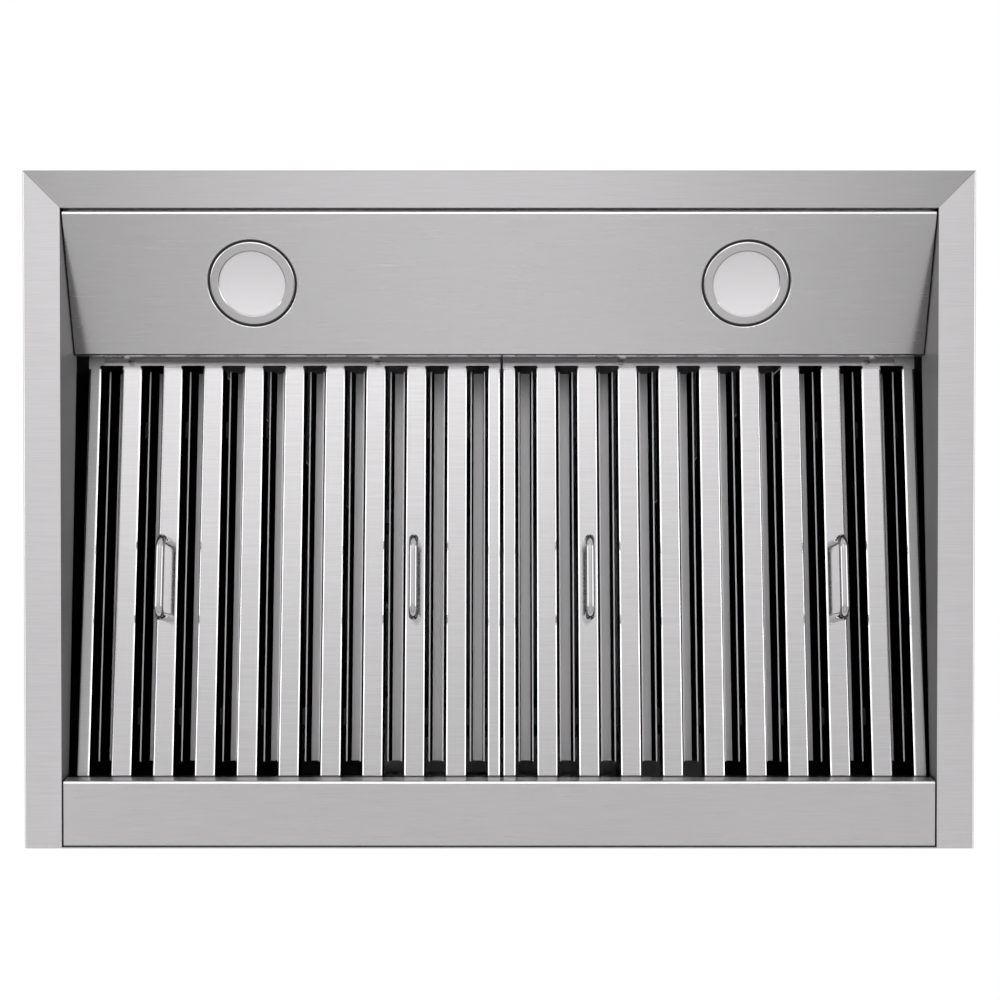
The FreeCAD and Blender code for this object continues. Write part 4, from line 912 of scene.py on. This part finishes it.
def screw_tree():
    """Pan head screws with a cross recess on points that carry their direction."""
    tree = bpy.data.node_groups.new("Pan head screws", "GeometryNodeTree")
    socket(tree, "Geometry", "Geometry", "OUTPUT")
    socket(tree, "Geometry", "Geometry", "INPUT")
    for name in SCREW_INPUTS:
        socket(tree, name, "Float", "INPUT", 0.001)
    socket(tree, "Finish", "Material", "INPUT")
    given = add_node(tree, "NodeGroupInput").outputs
    out = add_node(tree, "NodeGroupOutput")
    radius = math_node(tree, "MULTIPLY", given["Head diameter"], 0.5)
    height = given["Head height"]
    head = feed(
        tree, add_node(tree, "GeometryNodeMeshCone"), Vertices=SCREW_STEPS, Side_Segments=CROWN_STEPS,
        Depth=height, Radius_Bottom=radius, Radius_Top=math_node(tree, "MULTIPLY", radius, CROWN_TIP))
    place = add_node(tree, "GeometryNodeInputPosition").outputs["Position"]
    parts = feed(tree, add_node(tree, "ShaderNodeSeparateXYZ"), Vector=place).outputs
    part = math_node(tree, "DIVIDE", parts["Z"], height)
    round_off = math_node(tree, "SUBTRACT", 1.0, math_node(tree, "POWER", part, CROWN_POWER))
    bulge = math_node(tree, "POWER", math_node(tree, "MAXIMUM", round_off, CROWN_TIP * CROWN_TIP), 0.5)
    taper = math_node(tree, "SUBTRACT", 1.0, math_node(tree, "MULTIPLY", part, 1.0 - CROWN_TIP))
    swell = math_node(tree, "DIVIDE", bulge, taper)
    wide = math_node(tree, "MULTIPLY", parts["X"], swell)
    deep = math_node(tree, "MULTIPLY", parts["Y"], swell)
    crowned = feed(
        tree, add_node(tree, "GeometryNodeSetPosition"), Geometry=head.outputs["Mesh"],
        Position=vector_of(tree, wide, deep, parts["Z"]))
    cut_height = math_node(tree, "MULTIPLY", given["Recess depth"], 2.0)
    lift = vector_of(tree, 0.0, 0.0, height)
    one = box_at(tree, vector_of(tree, given["Recess length"], given["Recess width"], cut_height), lift)
    two = box_at(tree, vector_of(tree, given["Recess width"], given["Recess length"], cut_height), lift)
    cut = add_node(tree, "GeometryNodeMeshBoolean", operation="DIFFERENCE", solver="EXACT")
    tree.links.new(crowned.outputs["Geometry"], cut.inputs["Mesh 1"])
    for block in (two, one):
        tree.links.new(block.outputs["Geometry"], cut.inputs["Mesh 2"])
    shank = feed(
        tree, add_node(tree, "GeometryNodeMeshCylinder"), Vertices=SCREW_STEPS, Depth=given["Shank length"],
        Radius=math_node(tree, "MULTIPLY", given["Shank diameter"], 0.5))
    sunk = feed(
        tree, add_node(tree, "GeometryNodeTransform"), Geometry=shank.outputs["Mesh"],
        Translation=vector_of(tree, 0.0, 0.0, math_node(tree, "MULTIPLY", given["Shank length"], -0.5)))
    screw = add_node(tree, "GeometryNodeJoinGeometry")
    tree.links.new(sunk.outputs["Geometry"], screw.inputs["Geometry"])
    tree.links.new(cut.outputs["Mesh"], screw.inputs["Geometry"])
    way = add_node(tree, "GeometryNodeInputNamedAttribute", data_type="FLOAT_VECTOR")
    feed(tree, way, Name="way")
    turn = add_node(tree, "FunctionNodeAlignRotationToVector", axis="Z")
    tree.links.new(way.outputs["Attribute"], turn.inputs["Vector"])
    spread = feed(
        tree, add_node(tree, "GeometryNodeInstanceOnPoints"), Points=given["Geometry"],
        Instance=screw.outputs["Geometry"], Rotation=turn.outputs["Rotation"])
    real = feed(tree, add_node(tree, "GeometryNodeRealizeInstances"), Geometry=spread.outputs["Instances"])
    coated = feed(
        tree, add_node(tree, "GeometryNodeSetMaterial"), Geometry=real.outputs["Geometry"],
        Material=given["Finish"])
    tree.links.new(coated.outputs["Geometry"], out.inputs["Geometry"])
    return tree


def screws(name, tree, seats):
    """One mesh of screws on their seats."""
    sizes = bpy.context.scene.hood_sizes
    mesh = bpy.data.meshes.new(name + "_seats")
    mesh.from_pydata([seat for seat, way in seats], [], [])
    ways = mesh.attributes.new("way", "FLOAT_VECTOR", "POINT")
    for place, (seat, way) in enumerate(seats):
        ways.data[place].vector = way
    piece = bpy.data.objects.new(name, mesh)
    bpy.context.collection.objects.link(piece)
    modifier = piece.modifiers.new("Screws", "NODES")
    modifier.node_group = tree
    values = dict(zip(SCREW_INPUTS, (
        sizes.screw_head, sizes.screw_head_height, sizes.screw_shank, sizes.screw_length,
        sizes.recess_depth, sizes.recess_width, sizes.recess_length)))
    values["Finish"] = finishes["fastener"]
    for item in tree.interface.items_tree:
        if item.name in values:
            modifier[item.identifier] = values[item.name]
    seen = piece.evaluated_get(bpy.context.evaluated_depsgraph_get())
    made = bpy.data.meshes.new_from_object(seen)
    piece.modifiers.remove(modifier)
    piece.data = made
    made.name = name
    if not made.polygons:
        raise RuntimeError(name + " has no faces")
    return piece


class FastenerOperator(bpy.types.Operator):
    """Makes the pan head screws and finishes the studs and nuts"""
    bl_idname = "range_hood.fasteners"
    bl_label = "Fasteners"

    def execute(self, context):
        tree = screw_tree()
        for name, axis, body in SCREW_SETS:
            piece = screws(name.replace("_screws", "_pan_heads"), tree, screw_seats(name, axis))
            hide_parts(name)
            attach(piece, body)
        dress("fastener", "lamp_studs")
        return {"FINISHED"}


def aim(place, target, up):
    """The turn that looks from a place at a target."""
    look = (Vector(target) - Vector(place)).normalized()
    right = look.cross(Vector(up)).normalized()
    return Matrix((right, right.cross(look), -look)).transposed().to_euler()


def softbox(name, place, target, width, height, power):
    """A soft area light that the camera doesn't see."""
    light = bpy.data.lights.new(name, "AREA")
    light.shape = "RECTANGLE"
    light.size = width
    light.size_y = height
    light.energy = power
    made = bpy.data.objects.new(name, light)
    made.location = place
    made.rotation_euler = aim(place, target, (0.0, 1.0, 0.02))
    made.visible_camera = False
    bpy.context.collection.objects.link(made)


def make_world(strength):
    """White for what the camera, metal and glass see, and a soft grey light for the rest."""
    world = bpy.data.worlds.new("Studio")
    world.use_nodes = True
    tree = world.node_tree
    shade = tree.nodes["Background"]
    shade.inputs["Color"].default_value = (1.0, 1.0, 1.0, 1.0)
    rays = add_node(tree, "ShaderNodeLightPath").outputs
    seen = math_node(tree, "MAXIMUM", rays["Is Camera Ray"], rays["Is Glossy Ray"])
    seen = math_node(tree, "MAXIMUM", seen, rays["Is Transmission Ray"])
    level = add_node(tree, "ShaderNodeMapRange")
    level.inputs["To Min"].default_value = strength
    level.inputs["To Max"].default_value = 1.0
    tree.links.new(seen, level.inputs["Value"])
    tree.links.new(level.outputs["Result"], shade.inputs["Strength"])
    bpy.context.scene.world = world


class StageOperator(bpy.types.Operator):
    """Makes the camera, the floor and the lights"""
    bl_idname = "range_hood.stage"
    bl_label = "Stage"

    def execute(self, context):
        setup = context.scene.hood_stage
        lens = bpy.data.cameras.new("Camera")
        lens.lens = setup.camera_lens
        lens.sensor_width = SENSOR_WIDTH
        camera = bpy.data.objects.new("Camera", lens)
        camera.location = setup.camera_place
        camera.rotation_euler = aim(setup.camera_place, setup.camera_target, (0.0, -1.0, 0.0))
        context.collection.objects.link(camera)
        context.scene.camera = camera
        bpy.ops.mesh.primitive_plane_add(size=setup.floor_size, location=(0.0, 0.0, setup.floor_height))
        floor = context.object
        floor.name = "Floor"
        paint = bpy.data.materials.new("Pale floor")
        paint.use_nodes = True
        shader = paint.node_tree.nodes["Principled BSDF"]
        shader.inputs["Base Color"].default_value = (*setup.floor_colour, 1.0)
        shader.inputs["Roughness"].default_value = FLOOR_ROUGHNESS
        floor.data.materials.append(paint)
        middle = (0.0, -0.28, 0.1)
        softbox(
            "Front softbox", place=(-0.18, -1.45, -0.55), target=(-0.18, -1.45, -1.75),
            width=1.6, height=0.8, power=setup.front_power)
        softbox(
            "Left softbox", place=(-1.8, -0.5, -0.8), target=middle,
            width=1.2, height=1.2, power=setup.side_power)
        softbox(
            "Right softbox", place=(1.8, -0.5, -0.8), target=middle,
            width=1.2, height=1.2, power=setup.side_power)
        softbox(
            "Rear softbox", place=(0.0, 1.1, -1.1), target=(0.0, 1.1, -1.75),
            width=1.5, height=0.8, power=setup.rear_power)
        softbox(
            "Top softbox", place=(0.0, -1.2, 2.6), target=middle,
            width=2.6, height=2.6, power=setup.top_power)
        make_world(setup.sky)
        context.scene.view_settings.view_transform = "Standard"
        return {"FINISHED"}


class HoodPanel(bpy.types.Panel):
    """Lists the sizes, the colours and the steps"""
    bl_idname = "VIEW3D_PT_range_hood"
    bl_label = "Range hood"
    bl_space_type = "VIEW_3D"
    bl_region_type = "UI"
    bl_category = "Range hood"

    def draw(self, context):
        for group in (context.scene.hood_sizes, context.scene.hood_finishes, context.scene.hood_stage):
            for name in group.__annotations__:
                self.layout.prop(group, name)
        for step in STEPS:
            self.layout.operator(step.bl_idname)


STEPS = (
    SheetOperator, FilterOperator, LampOperator, ControlOperator, BlowerOperator, FastenerOperator,
    StageOperator)
GROUPS = (HoodFinishes, HoodSizes, HoodStage)


def register():
    """Adds the classes and the settings to the scene."""
    for made in GROUPS + STEPS + (HoodPanel,):
        bpy.utils.register_class(made)
    bpy.types.Scene.hood_finishes = PointerProperty(type=HoodFinishes)
    bpy.types.Scene.hood_sizes = PointerProperty(type=HoodSizes)
    bpy.types.Scene.hood_stage = PointerProperty(type=HoodStage)


def unregister():
    """Takes the settings and the classes away."""
    del bpy.types.Scene.hood_finishes
    del bpy.types.Scene.hood_sizes
    del bpy.types.Scene.hood_stage
    for made in reversed(GROUPS + STEPS + (HoodPanel,)):
        bpy.utils.unregister_class(made)


def main():
    """Runs every step."""
    register()
    finishes.update(make_finishes())
    bpy.ops.range_hood.sheet()
    bpy.ops.range_hood.filters()
    bpy.ops.range_hood.lamps()
    bpy.ops.range_hood.controls()
    bpy.ops.range_hood.blower()
    bpy.ops.range_hood.fasteners()
    bpy.ops.range_hood.stage()


if __name__ == "__main__":
    main()
